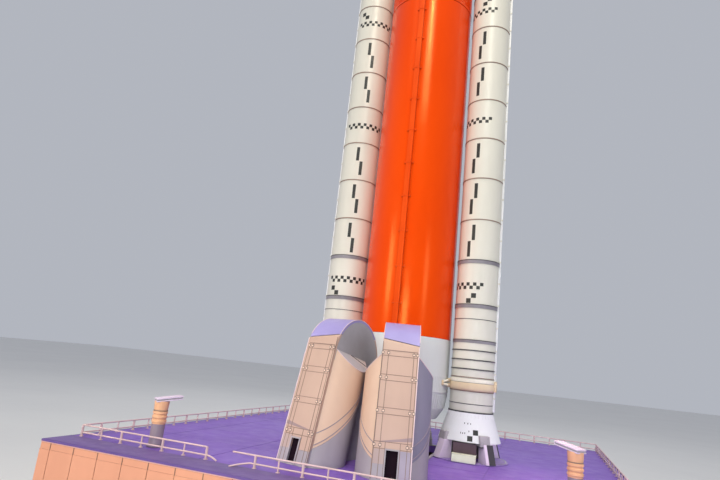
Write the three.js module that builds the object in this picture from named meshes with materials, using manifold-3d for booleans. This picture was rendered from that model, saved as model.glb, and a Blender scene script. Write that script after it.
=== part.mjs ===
// A display model of a heavy-lift space rocket at a scale of 1:20, standing on its model launch deck.
// Frame: +Z up, millimetres. The origin is on the floor under the core's axis. The boosters lie along X,
// and the front, where the two tail masts stand, faces -Y.
//
// Every size is written in metres of the full-size vehicle and multiplied by MM, the model's millimetres
// for each of those metres. Heights called "rocket heights" are measured from the boosters' skirt base.
import * as THREE from "three";
import { mergeVertices } from "three/addons/utils/BufferGeometryUtils.js";
import Module from "manifold-3d";

const wasm = await Module();
wasm.setup();

const MM = 50; // 1:20, so 50 mm of model for each full-size metre
const GAP = 0.3; // mm, the seam left between pieces that touch

// Launch deck, the model's plinth
const DECK_WIDTH = 37.8;
const DECK_DEPTH = 40.8;
const DECK_HEIGHT = 7.62;
const DECK_PLATE = 0.6;
const DECK_WALL = 0.5;
const POST_HEIGHT = 1.55; // from the deck to the boosters' skirt base
const CORE_HOLE = { width: 7.0, depth: 8.6 };
const BOOSTER_HOLE_RADIUS = 2.0;
const SUPPORT_BED = { radius: 3.3, height: 0.08 };

// Core, in rocket heights
const CORE_RADIUS = 4.2;
const CORE_SIDES = 48;
const BOATTAIL = { baseRadius: 3.4, kneeRadius: 3.95 };
const CORE_LEVELS = {
  boattail: 1.3,
  boattailKnee: 2.2,
  engineSection: 3.6,
  fuelTank: 8.2,
  intertank: 41.8,
  oxygenTank: 48.5,
  forwardSkirt: 60.0,
  stageAdapter: 63.2,
  upperStage: 71.6,
  spacecraftAdapter: 76.2,
  serviceModule: 77.7,
  crewFairing: 81.3,
  abortTower: 86.3,
  tip: 96.85,
};
const UPPER_STAGE_RADIUS = 2.55;
const SPACECRAFT_RADIUS = 2.75;
const CREW_FAIRING = { baseRadius: 2.68, topRadius: 0.62, power: 1.7, steps: 8 };
const ENGINE = { offset: 1.75, exitRadius: 1.15, throatRadius: 0.5, exit: -1.2, wall: 0.1 };

// Boosters, in rocket heights
const BOOSTER_OFFSET = 6.363;
const BOOSTER_RADIUS = 1.855;
const BOOSTER_SIDES = 32;
const SKIRT_BASE_RADIUS = 2.645;
const SKIRT_HEIGHT = 2.3;
const BOOSTER_SEGMENTS = [
  // name, bottom, top
  ["aft_segment", SKIRT_HEIGHT, 11.2],
  ["aft_center_segment", 11.2, 19.2],
  ["center_segment", 19.2, 27.2],
  ["forward_center_segment", 27.2, 35.2],
  ["forward_segment", 35.2, 43.2],
];
const NOSE = { bottom: 43.2, frustumBottom: 47.0, frustumTop: 50.2, frustumTopRadius: 0.87, tip: 52.1 };
const BOOSTER_NOZZLE = { topRadius: 1.5, exitRadius: 1.85, exit: -1.25, wall: 0.12 };
const ATTACH_RING = { bottom: 4.08, top: 5.06, outerRadius: 2.02, strutRadius: 0.09 };
const FORWARD_FITTING = { bottom: 45.6, top: 46.5, halfWidth: 0.35 };
const FOOT_ANGLE = 42; // degrees of each foot from the front or the rear
const FOOT = { inner: 2.15, outer: 2.85, baseOuter: 3.4, halfWidth: 0.42, shoeHeight: 0.75 };
const POST_BLOCK = { distance: 3.05, halfWidth: 0.95, halfDepth: 0.32, height: 0.92 };

// Lines that run along the bodies
const CORE_TUNNEL = { width: 0.45, height: 0.22, bottom: 5.0, top: 60.8 };
const BOOSTER_TUNNEL = { width: 0.36, height: 0.18, bottom: 2.45, top: 46.6 };
const FEEDLINE = { angle: 38, radius: 0.22, standoff: 0.34, bottom: 6.6, top: 43.0, sides: 12 };
const FEEDLINE_BRACKET = { first: 12, last: 40, spacing: 4, width: 0.32, height: 0.2 };

// Tail masts: a leaning slab with a round top, and a round shroud around it whose roof falls away to both
// sides and a little to the back
const MAST = {
  x: 3.4,
  y: -14.9,
  yaw: 13.7,
  lean: 13.4,
  height: 10.1,
  slabWidth: 2.53,
  slabDepth: 6.14,
  shroudCenter: 2.25,
  shroudRadius: 2.4,
  roofRidge: 7.76,
  roofSlope: 0.93,
  roofFall: 0.16,
  seamFront: 0.8,
  seamSlope: 0.84,
};
const DOOR = { x: -0.05, width: 0.75, foot: 0.1, top: 1.8, recess: 0.9 };

// Guard rails and water nozzles on the deck
const RAIL = {
  inset: 0.7,
  frontInset: 2.6,
  height: 0.8,
  tube: 0.09,
  post: 0.12,
  spacing: 1.6,
  gate: [-8.0, -5.9],
};
const WATER_NOZZLE_PLACES = [
  // name, x, y
  ["left_water_nozzle", -12.7, -16.9],
  ["right_water_nozzle", 14.2, -11.5],
];
const WATER_NOZZLE = {
  height: 3.45,
  radius: 0.45,
  footRadius: 0.54,
  headRadius: 0.5,
  bands: 3,
  bandsFrom: 1.55,
  headFrom: 2.4,
  plateReach: 1.5,
};

const deckTop = DECK_HEIGHT * MM;
const skirtBase = (DECK_HEIGHT + POST_HEIGHT) * MM;

const colours = {
  white: new THREE.MeshStandardMaterial({ color: 0xe9e4da, roughness: 0.45, metalness: 0 }),
  orange: new THREE.MeshStandardMaterial({ color: 0xe8480c, roughness: 0.4, metalness: 0 }),
  cream: new THREE.MeshStandardMaterial({ color: 0xe2dcb4, roughness: 0.5, metalness: 0 }),
  grey: new THREE.MeshStandardMaterial({ color: 0x9a9a9c, roughness: 0.5, metalness: 0 }),
  mast: new THREE.MeshStandardMaterial({ color: 0xc4ab95, roughness: 0.55, metalness: 0 }),
  deck: new THREE.MeshStandardMaterial({ color: 0x8e86ae, roughness: 0.6, metalness: 0 }),
  panel: new THREE.MeshStandardMaterial({ color: 0xc9a489, roughness: 0.6, metalness: 0 }),
  rail: new THREE.MeshStandardMaterial({ color: 0xe6d3c4, roughness: 0.4, metalness: 0 }),
  metal: new THREE.MeshStandardMaterial({ color: 0x55504c, roughness: 0.35, metalness: 0.8 }),
};

// Turns a closed three.js geometry into a solid that can be cut and joined.
function solid(geometry) {
  const plain = geometry.index ? geometry.toNonIndexed() : geometry.clone();
  plain.deleteAttribute("normal");
  plain.deleteAttribute("uv");
  const merged = mergeVertices(plain, 1e-3);
  return new wasm.Manifold(
    new wasm.Mesh({
      numProp: 3,
      vertProperties: merged.attributes.position.array,
      triVerts: new Uint32Array(merged.index.array),
    }),
  );
}

// Turns a solid back into a geometry.
function geometryOf(made) {
  const mesh = made.getMesh();
  const points = new Float32Array(mesh.numVert * 3);
  for (let i = 0; i < mesh.numVert; i++)
    points.set(mesh.vertProperties.subarray(i * mesh.numProp, i * mesh.numProp + 3), i * 3);
  const geometry = new THREE.BufferGeometry();
  geometry.setAttribute("position", new THREE.BufferAttribute(points, 3));
  geometry.setIndex(new THREE.BufferAttribute(mesh.triVerts, 1));
  return geometry;
}

const joined = (...solids) => solids.reduce((all, next) => all.add(next));

// A body of revolution about Z. The profile holds [radius, height] in full-size metres, from its foot up.
function turned(profile, sides) {
  const points = profile.map(([radius, height]) => new THREE.Vector2(radius * MM, height * MM));
  return new THREE.LatheGeometry(points, sides).rotateX(Math.PI / 2);
}

// A plain drum between two heights, a seam short at its top.
function drum(bottomRadius, topRadius, height, sides) {
  const top = height - GAP / MM;
  return turned([[0, 0], [bottomRadius, 0], [topRadius, top], [0, top]], sides);
}

// A box given by its lowest and highest corners, in full-size metres.
function box([x0, y0, z0], [x1, y1, z1]) {
  return new THREE.BoxGeometry((x1 - x0) * MM, (y1 - y0) * MM, (z1 - z0) * MM).translate(
    ((x0 + x1) / 2) * MM,
    ((y0 + y1) / 2) * MM,
    ((z0 + z1) / 2) * MM,
  );
}

// A round bar between two points, in full-size metres.
function bar(from, to, radius, sides = 10) {
  const start = new THREE.Vector3(...from).multiplyScalar(MM);
  const along = new THREE.Vector3(...to).multiplyScalar(MM).sub(start);
  const made = new THREE.CylinderGeometry(radius * MM, radius * MM, along.length(), sides);
  const turn = new THREE.Quaternion().setFromUnitVectors(
    new THREE.Vector3(0, 1, 0),
    along.clone().normalize(),
  );
  return made.applyQuaternion(turn).translate(...start.addScaledVector(along, 0.5).toArray());
}

const part = new THREE.Group();
const rocket = new THREE.Group();
rocket.position.z = skirtBase;
const deck = new THREE.Group();
deck.position.z = deckTop;
part.add(rocket, deck);

function place(name, geometry, material, parent, x = 0, y = 0, z = 0) {
  const mesh = new THREE.Mesh(geometry, material);
  mesh.name = name;
  mesh.position.set(x * MM, y * MM, z * MM);
  parent.add(mesh);
  return mesh;
}

// Core stage and the stages above it

function stack(name, bottom, top, bottomRadius, topRadius, material) {
  const shape = drum(bottomRadius, topRadius, top - bottom, CORE_SIDES);
  place(name, shape, material, rocket, 0, 0, bottom);
}

function core() {
  const at = CORE_LEVELS;
  const { white, orange } = colours;
  const [wide, slim, crew] = [CORE_RADIUS, UPPER_STAGE_RADIUS, SPACECRAFT_RADIUS];
  const bodies = [
    // name, bottom, top, bottom radius, top radius, material
    ["core_engine_section", at.engineSection, at.fuelTank, wide, wide, white],
    ["core_fuel_tank", at.fuelTank, at.intertank, wide, wide, orange],
    ["core_intertank", at.intertank, at.oxygenTank, wide, wide, orange],
    ["core_oxygen_tank", at.oxygenTank, at.forwardSkirt, wide, wide, orange],
    ["core_forward_skirt", at.forwardSkirt, at.stageAdapter, wide, wide, orange],
    ["stage_adapter", at.stageAdapter, at.upperStage, wide, slim, white],
    ["upper_stage", at.upperStage, at.spacecraftAdapter, slim, slim, white],
    ["spacecraft_adapter", at.spacecraftAdapter, at.serviceModule, slim, crew, white],
    ["service_module", at.serviceModule, at.crewFairing, crew, crew, white],
  ];
  for (const body of bodies) stack(...body);
}

function boattail() {
  const { boattail: base, boattailKnee: knee, engineSection: top } = CORE_LEVELS;
  const height = top - base - GAP / MM;
  const profile = [
    [0, 0],
    [BOATTAIL.baseRadius, 0],
    [BOATTAIL.kneeRadius, knee - base],
    [CORE_RADIUS, height],
    [0, height],
  ];
  place("core_boattail", turned(profile, CORE_SIDES), colours.white, rocket, 0, 0, base);
}

// The bullet-shaped fairing over the crew capsule, which narrows faster the higher it gets
function crewFairing() {
  const height = CORE_LEVELS.abortTower - CORE_LEVELS.crewFairing - GAP / MM;
  const { baseRadius, topRadius, power, steps } = CREW_FAIRING;
  const profile = [[0, 0]];
  for (let i = 0; i <= steps; i++) {
    const share = i / steps;
    profile.push([baseRadius - (baseRadius - topRadius) * share ** power, height * share]);
  }
  profile.push([0, height]);
  place("crew_fairing", turned(profile, CORE_SIDES), colours.white, rocket, 0, 0, CORE_LEVELS.crewFairing);
}

function abortTower() {
  const profile = [
    // radius, height above the tower's foot
    [0, 0],
    [0.6, 0],
    [0.46, 0.9],
    [0.46, 5.2],
    [0.56, 5.5],
    [0.56, 6.0],
    [0.43, 6.2],
    [0.43, 8.2],
    [0.4, 8.4],
    [0.22, 9.7],
    [0.08, CORE_LEVELS.tip - CORE_LEVELS.abortTower],
    [0, CORE_LEVELS.tip - CORE_LEVELS.abortTower],
  ];
  place("abort_tower", turned(profile, 24), colours.white, rocket, 0, 0, CORE_LEVELS.abortTower);
}

// A hollow bell, open below, hung by its closed top.
function bell(topRadius, exitRadius, height, wall, sides) {
  const cap = 0.25;
  const steps = 4;
  const outer = [];
  for (let i = 0; i <= steps; i++) {
    const share = i / steps;
    outer.push([exitRadius - (exitRadius - topRadius) * share ** 1.6, height * share]);
  }
  const inner = outer.slice(0, steps).map(([radius, at]) => [radius - wall, at]);
  const roof = height - cap;
  const roofRadius = (outer[steps - 1][0] + topRadius) / 2 - wall;
  const profile = [[0, roof], [roofRadius, roof], ...inner.reverse(), ...outer, [0, height]];
  return turned(profile, sides);
}

function engines() {
  const height = CORE_LEVELS.boattail - ENGINE.exit - GAP / MM;
  const corners = [
    // name, x, y
    ["engine_nozzle_front_left", -1, -1],
    ["engine_nozzle_front_right", 1, -1],
    ["engine_nozzle_rear_left", -1, 1],
    ["engine_nozzle_rear_right", 1, 1],
  ];
  for (const [name, x, y] of corners) {
    const shape = bell(ENGINE.throatRadius, ENGINE.exitRadius, height, ENGINE.wall, 24);
    place(name, shape, colours.metal, rocket, x * ENGINE.offset, y * ENGINE.offset, ENGINE.exit);
  }
}

// The space that the core fills, a seam wider, to trim what is fastened to it.
function coreSpace() {
  const radius = CORE_RADIUS + GAP / MM;
  const top = CORE_LEVELS.stageAdapter;
  return solid(turned([[0, 0], [radius, 0], [radius, top], [0, top]], CORE_SIDES));
}

function coreTunnel() {
  const face = CORE_RADIUS + GAP / MM;
  const shape = box(
    [-CORE_TUNNEL.width / 2, -face - CORE_TUNNEL.height, CORE_TUNNEL.bottom],
    [CORE_TUNNEL.width / 2, -face, CORE_TUNNEL.top],
  );
  place("core_cable_tunnel", shape, colours.orange, rocket);
}

// A feedline runs down the outside of the fuel tank and turns in at both ends.
function feedline(name, side) {
  const line = CORE_RADIUS + FEEDLINE.standoff;
  const inside = CORE_RADIUS - 0.3;
  const bend = 0.7;
  const path = new THREE.CurvePath();
  const at = (radius, height) => new THREE.Vector3(radius * MM, 0, height * MM);
  const corners = [
    at(inside, FEEDLINE.bottom),
    at(line, FEEDLINE.bottom + bend * 0.5),
    at(line, FEEDLINE.bottom + bend * 1.6),
    at(line, FEEDLINE.top - bend * 1.6),
    at(line, FEEDLINE.top - bend * 0.5),
    at(inside, FEEDLINE.top),
  ];
  path.add(new THREE.QuadraticBezierCurve3(corners[0], corners[1], corners[2]));
  path.add(new THREE.LineCurve3(corners[2], corners[3]));
  path.add(new THREE.QuadraticBezierCurve3(corners[3], corners[4], corners[5]));
  const section = new THREE.Shape().absarc(0, 0, FEEDLINE.radius * MM, 0, 2 * Math.PI);
  // Each stretch is its own extrusion, so that the straight one takes a single step.
  const steps = [5, 1, 5];
  const stretches = path.curves.map((curve, i) =>
    solid(
      new THREE.ExtrudeGeometry(section, {
        steps: steps[i],
        extrudePath: curve,
        curveSegments: FEEDLINE.sides / 2,
        bevelEnabled: false,
      }),
    ),
  );
  const brackets = [];
  const half = FEEDLINE_BRACKET.width / 2;
  for (let foot = FEEDLINE_BRACKET.first; foot < FEEDLINE_BRACKET.last; foot += FEEDLINE_BRACKET.spacing) {
    const head = foot + FEEDLINE_BRACKET.height;
    brackets.push(solid(box([CORE_RADIUS - 0.1, -half, foot], [line + 0.1, half, head])));
  }
  const angle = THREE.MathUtils.degToRad(90 - side * FEEDLINE.angle);
  const pipe = geometryOf(joined(...stretches, ...brackets));
  pipe.rotateZ(angle);
  place(name, geometryOf(solid(pipe).subtract(coreSpace())), colours.orange, rocket);
}

// Boosters

const BOOSTER_SIDE = [
  // name, side of the core
  ["left_booster", -1],
  ["right_booster", 1],
];

// A foot's outline in plan points outwards along +X and is turned to its place.
function footAngles() {
  const angles = [];
  for (const face of [-90, 90]) for (const turn of [-FOOT_ANGLE, FOOT_ANGLE]) angles.push(face + turn);
  return angles;
}

function aftSkirt(name, x) {
  const top = SKIRT_HEIGHT - GAP / MM;
  const topRadius = BOOSTER_RADIUS * 1.03;
  const body = solid(turned([[0, 0], [SKIRT_BASE_RADIUS, 0], [topRadius, top], [0, top]], BOOSTER_SIDES));
  const shoes = footAngles().map((angle) => {
    const outline = new THREE.Shape([
      new THREE.Vector2((FOOT.inner - 0.4) * MM, 0),
      new THREE.Vector2(FOOT.outer * MM, 0),
      new THREE.Vector2((FOOT.outer - 0.18) * MM, FOOT.shoeHeight * MM),
      new THREE.Vector2((FOOT.inner - 0.4) * MM, FOOT.shoeHeight * MM),
    ]);
    const shoe = new THREE.ExtrudeGeometry(outline, {
      depth: 2 * FOOT.halfWidth * MM,
      bevelEnabled: false,
    });
    shoe.translate(0, 0, -FOOT.halfWidth * MM).rotateX(Math.PI / 2);
    return solid(shoe.rotateZ(THREE.MathUtils.degToRad(angle)));
  });
  place(name, geometryOf(joined(body, ...shoes)), colours.white, rocket, x);
}

function boosterNose(name, x) {
  const height = NOSE.tip - NOSE.bottom;
  const shoulder = NOSE.frustumTop - NOSE.bottom;
  const profile = [
    [0, 0],
    [BOOSTER_RADIUS, 0],
    [BOOSTER_RADIUS, NOSE.frustumBottom - NOSE.bottom],
    [NOSE.frustumTopRadius, shoulder],
  ];
  const steps = 5;
  for (let i = 1; i <= steps; i++) {
    const angle = (i / steps) * (Math.PI / 2);
    profile.push([NOSE.frustumTopRadius * Math.cos(angle), shoulder + (height - shoulder) * Math.sin(angle)]);
  }
  profile[profile.length - 1][0] = 0;
  place(name, turned(profile, BOOSTER_SIDES), colours.white, rocket, x, 0, NOSE.bottom);
}

function attachRing(name, x, side) {
  const inner = BOOSTER_RADIUS + GAP / MM;
  const ring = solid(
    turned(
      [
        [inner, ATTACH_RING.bottom],
        [ATTACH_RING.outerRadius, ATTACH_RING.bottom],
        [ATTACH_RING.outerRadius, ATTACH_RING.top],
        [inner, ATTACH_RING.top],
        [inner, ATTACH_RING.bottom],
      ],
      BOOSTER_SIDES,
    ),
  );
  const middle = (ATTACH_RING.bottom + ATTACH_RING.top) / 2;
  // Each strut starts inside the ring's wall and ends inside the core's space, which then trims it.
  const inset = 0.97;
  const overrun = 0.25;
  const struts = [
    // y at the ring, height at the ring, y at the core, height at the core
    [-1.3, middle, -1.9, middle],
    [1.3, middle, 1.9, middle],
    [-1.3, middle - 0.2, -2.2, middle - 1.0],
  ].map(([ringY, ringZ, coreY, coreZ]) => {
    const coreX = -side * (BOOSTER_OFFSET - Math.sqrt(CORE_RADIUS ** 2 - coreY ** 2) + overrun);
    const ringX = -side * Math.sqrt(ATTACH_RING.outerRadius ** 2 - ringY ** 2);
    const start = [ringX * inset, ringY * inset, ringZ];
    return solid(bar(start, [coreX, coreY, coreZ], ATTACH_RING.strutRadius));
  });
  const tunnel = tunnelShape(side, 2 * GAP / MM);
  const space = coreSpace().translate([-x * MM, 0, 0]);
  const made = joined(ring, ...struts).subtract(solid(tunnel)).subtract(space);
  place(name, geometryOf(made), colours.cream, rocket, x);
}

// The booster's cable tunnel on its outer side. The clearance widens it, to cut the ring that it crosses.
function tunnelShape(side, clearance = 0) {
  const face = BOOSTER_RADIUS + (clearance ? -0.1 : GAP / MM);
  const outer = BOOSTER_RADIUS + BOOSTER_TUNNEL.height + clearance;
  const half = BOOSTER_TUNNEL.width / 2 + clearance;
  const [low, high] = side > 0 ? [face, outer] : [-outer, -face];
  return box([low, -half, BOOSTER_TUNNEL.bottom], [high, half, BOOSTER_TUNNEL.top]);
}

// The block between the core and the booster's nose, hollowed to both of their curves.
function forwardFitting(name, side) {
  const { bottom, top, halfWidth } = FORWARD_FITTING;
  const reach = 0.3;
  const block = box(
    [CORE_RADIUS - reach, -halfWidth, bottom],
    [BOOSTER_OFFSET - BOOSTER_RADIUS + reach, halfWidth, top],
  );
  const radius = BOOSTER_RADIUS + GAP / MM;
  const [low, high] = [bottom - 1, top + 1];
  const booster = turned([[0, low], [radius, low], [radius, high], [0, high]], BOOSTER_SIDES);
  booster.translate(BOOSTER_OFFSET * MM, 0, 0);
  const shape = geometryOf(solid(block).subtract(solid(booster)).subtract(coreSpace()));
  if (side < 0) shape.rotateZ(Math.PI);
  place(name, shape, colours.white, rocket);
}

function booster(name, side) {
  const x = side * BOOSTER_OFFSET;
  aftSkirt(name + "_aft_skirt", x);
  for (const [segment, bottom, top] of BOOSTER_SEGMENTS) {
    const shape = drum(BOOSTER_RADIUS, BOOSTER_RADIUS, top - bottom, BOOSTER_SIDES);
    place(name + "_" + segment, shape, colours.white, rocket, x, 0, bottom);
  }
  boosterNose(name + "_nose", x);
  const nozzle = bell(
    BOOSTER_NOZZLE.topRadius,
    BOOSTER_NOZZLE.exitRadius,
    -BOOSTER_NOZZLE.exit - GAP / MM,
    BOOSTER_NOZZLE.wall,
    BOOSTER_SIDES,
  );
  place(name + "_nozzle", nozzle, colours.metal, rocket, x, 0, BOOSTER_NOZZLE.exit);
  place(name + "_cable_tunnel", tunnelShape(side), colours.white, rocket, x);
  attachRing(name + "_attach_ring", x, side);
  forwardFitting(name + "_forward_fitting", side);
}

// Launch deck

function deckPlate() {
  const half = [DECK_WIDTH / 2, DECK_DEPTH / 2];
  let plate = solid(box([-half[0], -half[1], -DECK_PLATE], [half[0], half[1], 0]));
  const hole = [CORE_HOLE.width / 2, CORE_HOLE.depth / 2];
  plate = plate.subtract(solid(box([-hole[0], -hole[1], -2], [hole[0], hole[1], 1])));
  for (const side of [-1, 1]) {
    const cut = turned([[0, -2], [BOOSTER_HOLE_RADIUS, -2], [BOOSTER_HOLE_RADIUS, 1], [0, 1]], 16);
    plate = plate.subtract(solid(cut.translate(side * BOOSTER_OFFSET * MM, 0, 0)));
  }
  place("deck_plate", geometryOf(plate), colours.deck, deck);
}

function deckWalls() {
  const [w, d] = [DECK_WIDTH / 2, DECK_DEPTH / 2];
  const top = DECK_HEIGHT - DECK_PLATE - GAP / MM;
  const seam = GAP / MM;
  const walls = [
    // name, lowest corner, highest corner
    ["deck_front_wall", [-w, -d, 0], [w, -d + DECK_WALL, top]],
    ["deck_rear_wall", [-w, d - DECK_WALL, 0], [w, d, top]],
    ["deck_left_wall", [-w, -d + DECK_WALL + seam, 0], [-w + DECK_WALL, d - DECK_WALL - seam, top]],
    ["deck_right_wall", [w - DECK_WALL, -d + DECK_WALL + seam, 0], [w, d - DECK_WALL - seam, top]],
  ];
  for (const [name, low, high] of walls) place(name, box(low, high), colours.panel, part);
}

// One support carries the four feet of a booster, on a thin ring around the exhaust opening, with a block
// between each pair of posts. The ring is cut straight beside the core's opening.
function support(name, x, side) {
  const top = POST_HEIGHT - GAP / MM;
  const seat = GAP / MM;
  const inner = BOOSTER_HOLE_RADIUS + 0.02;
  const { radius: outer, height: bedTop } = SUPPORT_BED;
  const section = [[inner, seat], [outer, seat], [outer, bedTop], [inner, bedTop], [inner, seat]];
  const cutAt = BOOSTER_OFFSET - CORE_HOLE.width / 2 - 0.1;
  const [low, high] = side > 0 ? [-2 * outer, -cutAt] : [cutAt, 2 * outer];
  const beyond = solid(box([low, -2 * outer, -1], [high, 2 * outer, 1]));
  const bed = solid(turned(section, BOOSTER_SIDES)).subtract(beyond);
  const { distance, halfWidth, halfDepth, height } = POST_BLOCK;
  const blocks = [-distance, distance].map((y) =>
    solid(box([-halfWidth, y - halfDepth, seat], [halfWidth, y + halfDepth, height])),
  );
  const posts = footAngles().map((angle) => {
    const outline = new THREE.Shape([
      new THREE.Vector2(FOOT.inner * MM, seat * MM),
      new THREE.Vector2(FOOT.baseOuter * MM, seat * MM),
      new THREE.Vector2(FOOT.outer * MM, top * MM),
      new THREE.Vector2(FOOT.inner * MM, top * MM),
    ]);
    const post = new THREE.ExtrudeGeometry(outline, {
      depth: 2 * FOOT.halfWidth * MM,
      bevelEnabled: false,
    });
    post.translate(0, 0, -FOOT.halfWidth * MM).rotateX(Math.PI / 2);
    return solid(post.rotateZ(THREE.MathUtils.degToRad(angle)));
  });
  const made = joined(bed, ...blocks, ...posts);
  place(name, geometryOf(made), colours.rail, deck, x);
}

// Tail masts, each built at the origin with its front at -Y, then turned and moved

// A solid that leans back: its section is given along the lean, so a plain shape is sheared in Y by height.
function leaned(geometry) {
  const shear = new THREE.Matrix4().set(
    1, 0, 0, 0,
    0, 1, Math.tan(THREE.MathUtils.degToRad(MAST.lean)), 0,
    0, 0, 1, 0,
    0, 0, 0, 1,
  );
  return geometry.applyMatrix4(shear);
}

function mastBody() {
  const lean = THREE.MathUtils.degToRad(MAST.lean);
  const radius = MAST.slabDepth / 2;
  const depth = MAST.slabDepth / Math.cos(lean);
  const spring = MAST.height - radius;
  const middle = depth / 2 + spring * Math.tan(lean);
  // The slab's side outline: front foot, up the leaning front, round the arch, down the leaning back.
  const outline = new THREE.Shape();
  outline.moveTo(0, 0);
  outline.lineTo(depth * MM, 0);
  outline.absarc(middle * MM, spring * MM, radius * MM, -lean, Math.PI - lean, false);
  outline.lineTo(0, 0);
  const slab = new THREE.ExtrudeGeometry(outline, {
    depth: MAST.slabWidth * MM,
    bevelEnabled: false,
    curveSegments: 16,
  });
  // The outline lies in Y and Z, and the slab's width runs along X.
  slab.translate(0, 0, (-MAST.slabWidth / 2) * MM).rotateX(Math.PI / 2).rotateZ(Math.PI / 2);
  // The shroud stops just inside the slab's front face, so that the face stays flat.
  const { shroudCenter: center, shroudRadius: round, roofRidge: ridge } = MAST;
  const shroud = turned([[0, 0], [round, 0], [round, ridge], [0, ridge]], 40);
  shroud.translate(0, center * MM, 0);
  const inside = 0.05;
  const between = box([-round, inside, -1], [round, center + round, ridge + 1]);
  // The space under the shroud's roof: level across the slab, falling away to both sides and to the back.
  const overhang = 2;
  const half = MAST.slabWidth / 2;
  const eave = half + overhang;
  const eaveHeight = ridge - overhang * MAST.roofSlope;
  const roofOutline = new THREE.Shape(
    [
      [-half, ridge],
      [-eave, eaveHeight],
      [-eave, -1],
      [eave, -1],
      [eave, eaveHeight],
      [half, ridge],
    ].map(([x, z]) => new THREE.Vector2(x * MM, z * MM)),
  );
  const roof = new THREE.ExtrudeGeometry(roofOutline, { depth: 2 * depth * MM, bevelEnabled: false });
  roof.rotateX(Math.PI / 2).translate(0, 1.5 * depth * MM, 0);
  roof.applyMatrix4(new THREE.Matrix4().set(
    1, 0, 0, 0,
    0, 1, 0, 0,
    0, -MAST.roofFall, 1, 0,
    0, 0, 0, 1,
  ));
  const cheeks = geometryOf(solid(shroud).intersect(solid(between)).intersect(solid(roof)));
  return solid(slab).add(solid(leaned(cheeks)));
}

function mast(name, side) {
  const body = mastBody();
  const door = solid(
    box([DOOR.x - DOOR.width / 2, -1, DOOR.foot], [DOOR.x + DOOR.width / 2, DOOR.recess, DOOR.top]),
  );
  // The seam between the base and the shell rises towards the back, from just ahead of the front face.
  const reach = 12;
  const seamStart = -0.5;
  const seamAt = (y, offset) => (MAST.seamFront + y * MAST.seamSlope + offset) * MM;
  const below = (offset) => {
    const outline = new THREE.Shape([
      new THREE.Vector2(-reach * MM, -MM),
      new THREE.Vector2(reach * MM, -MM),
      new THREE.Vector2(reach * MM, seamAt(reach, offset)),
      new THREE.Vector2(seamStart * MM, seamAt(seamStart, offset)),
      new THREE.Vector2(-reach * MM, seamAt(seamStart, offset)),
    ]);
    const shape = new THREE.ExtrudeGeometry(outline, { depth: 2 * reach * MM, bevelEnabled: false });
    return solid(shape.translate(0, 0, -reach * MM).rotateX(Math.PI / 2).rotateZ(Math.PI / 2));
  };
  const group = new THREE.Group();
  group.position.set(side * MAST.x * MM, MAST.y * MM, GAP);
  group.rotation.z = THREE.MathUtils.degToRad(side * MAST.yaw);
  deck.add(group);
  const base = body.intersect(below(0)).subtract(door);
  const shell = body.subtract(below(GAP / MM)).subtract(door);
  place(name + "_base", geometryOf(base), colours.grey, group);
  place(name + "_shell", geometryOf(shell), colours.mast, group);
}

// Guard rails: posts and two tubes along a straight run on the deck
function guardRail(name, [x0, y0], [x1, y1]) {
  const seat = GAP / MM;
  const half = RAIL.post / 2;
  const tube = RAIL.tube / 2;
  const pieces = [];
  for (const height of [RAIL.height - RAIL.tube, RAIL.height * 0.5])
    pieces.push(solid(box([x0 - tube, y0 - tube, height], [x1 + tube, y1 + tube, height + RAIL.tube])));
  const spans = Math.round(Math.hypot(x1 - x0, y1 - y0) / RAIL.spacing);
  for (let k = 0; k <= spans; k++) {
    const x = x0 + ((x1 - x0) * k) / spans;
    const y = y0 + ((y1 - y0) * k) / spans;
    const top = RAIL.height - tube;
    pieces.push(solid(box([x - half, y - half, seat], [x + half, y + half, top])));
  }
  place(name, geometryOf(joined(...pieces)), colours.rail, deck);
}

function rails() {
  const x = DECK_WIDTH / 2 - RAIL.inset;
  const rear = DECK_DEPTH / 2 - RAIL.inset;
  const front = -DECK_DEPTH / 2 + RAIL.frontInset;
  const [left, right] = RAIL.gate;
  const parting = 0.3;
  const runs = [
    // name, left or front end, right or rear end
    ["front_left_guard_rail", [-x, front], [left, front]],
    ["front_right_guard_rail", [right, front], [x, front]],
    ["left_guard_rail", [-x, front + parting], [-x, rear - parting]],
    ["right_guard_rail", [x, front + parting], [x, rear - parting]],
    ["rear_guard_rail", [-x, rear], [x, rear]],
  ];
  for (const run of runs) guardRail(...run);
}

// A banded pillar with a double plate on top, which reaches out towards the core
function waterNozzle(name, x, y) {
  const { height, radius, footRadius, headRadius, bands, bandsFrom, headFrom, plateReach } = WATER_NOZZLE;
  const seat = GAP / MM;
  const flange = 0.12;
  const band = (headFrom - bandsFrom) / bands;
  const bandRadius = radius * 1.12;
  const profile = [[0, seat], [footRadius, seat], [footRadius, flange], [radius, flange]];
  for (let i = 0; i < bands; i++) {
    const foot = bandsFrom + i * band;
    profile.push([radius, foot], [bandRadius, foot + band * 0.3], [bandRadius, foot + band * 0.7]);
  }
  profile.push([radius, headFrom], [headRadius, height - 0.15], [0, height - 0.15]);
  const pillar = solid(turned(profile, 20));
  const back = headRadius * 1.1;
  const plates = [
    // foot, top, half width, reach
    [height - 0.32, height - 0.22, 0.55, plateReach],
    [height - 0.22, height - 0.1, 0.45, plateReach - 0.02],
    [height - 0.1, height, 0.55, plateReach],
  ].map(([foot, top, half, reach]) => solid(box([-back, -half, foot], [reach, half, top])));
  const mesh = place(name, geometryOf(joined(pillar, ...plates)), colours.mast, deck, x, y);
  mesh.rotation.z = Math.atan2(-y, -x);
}

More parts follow.
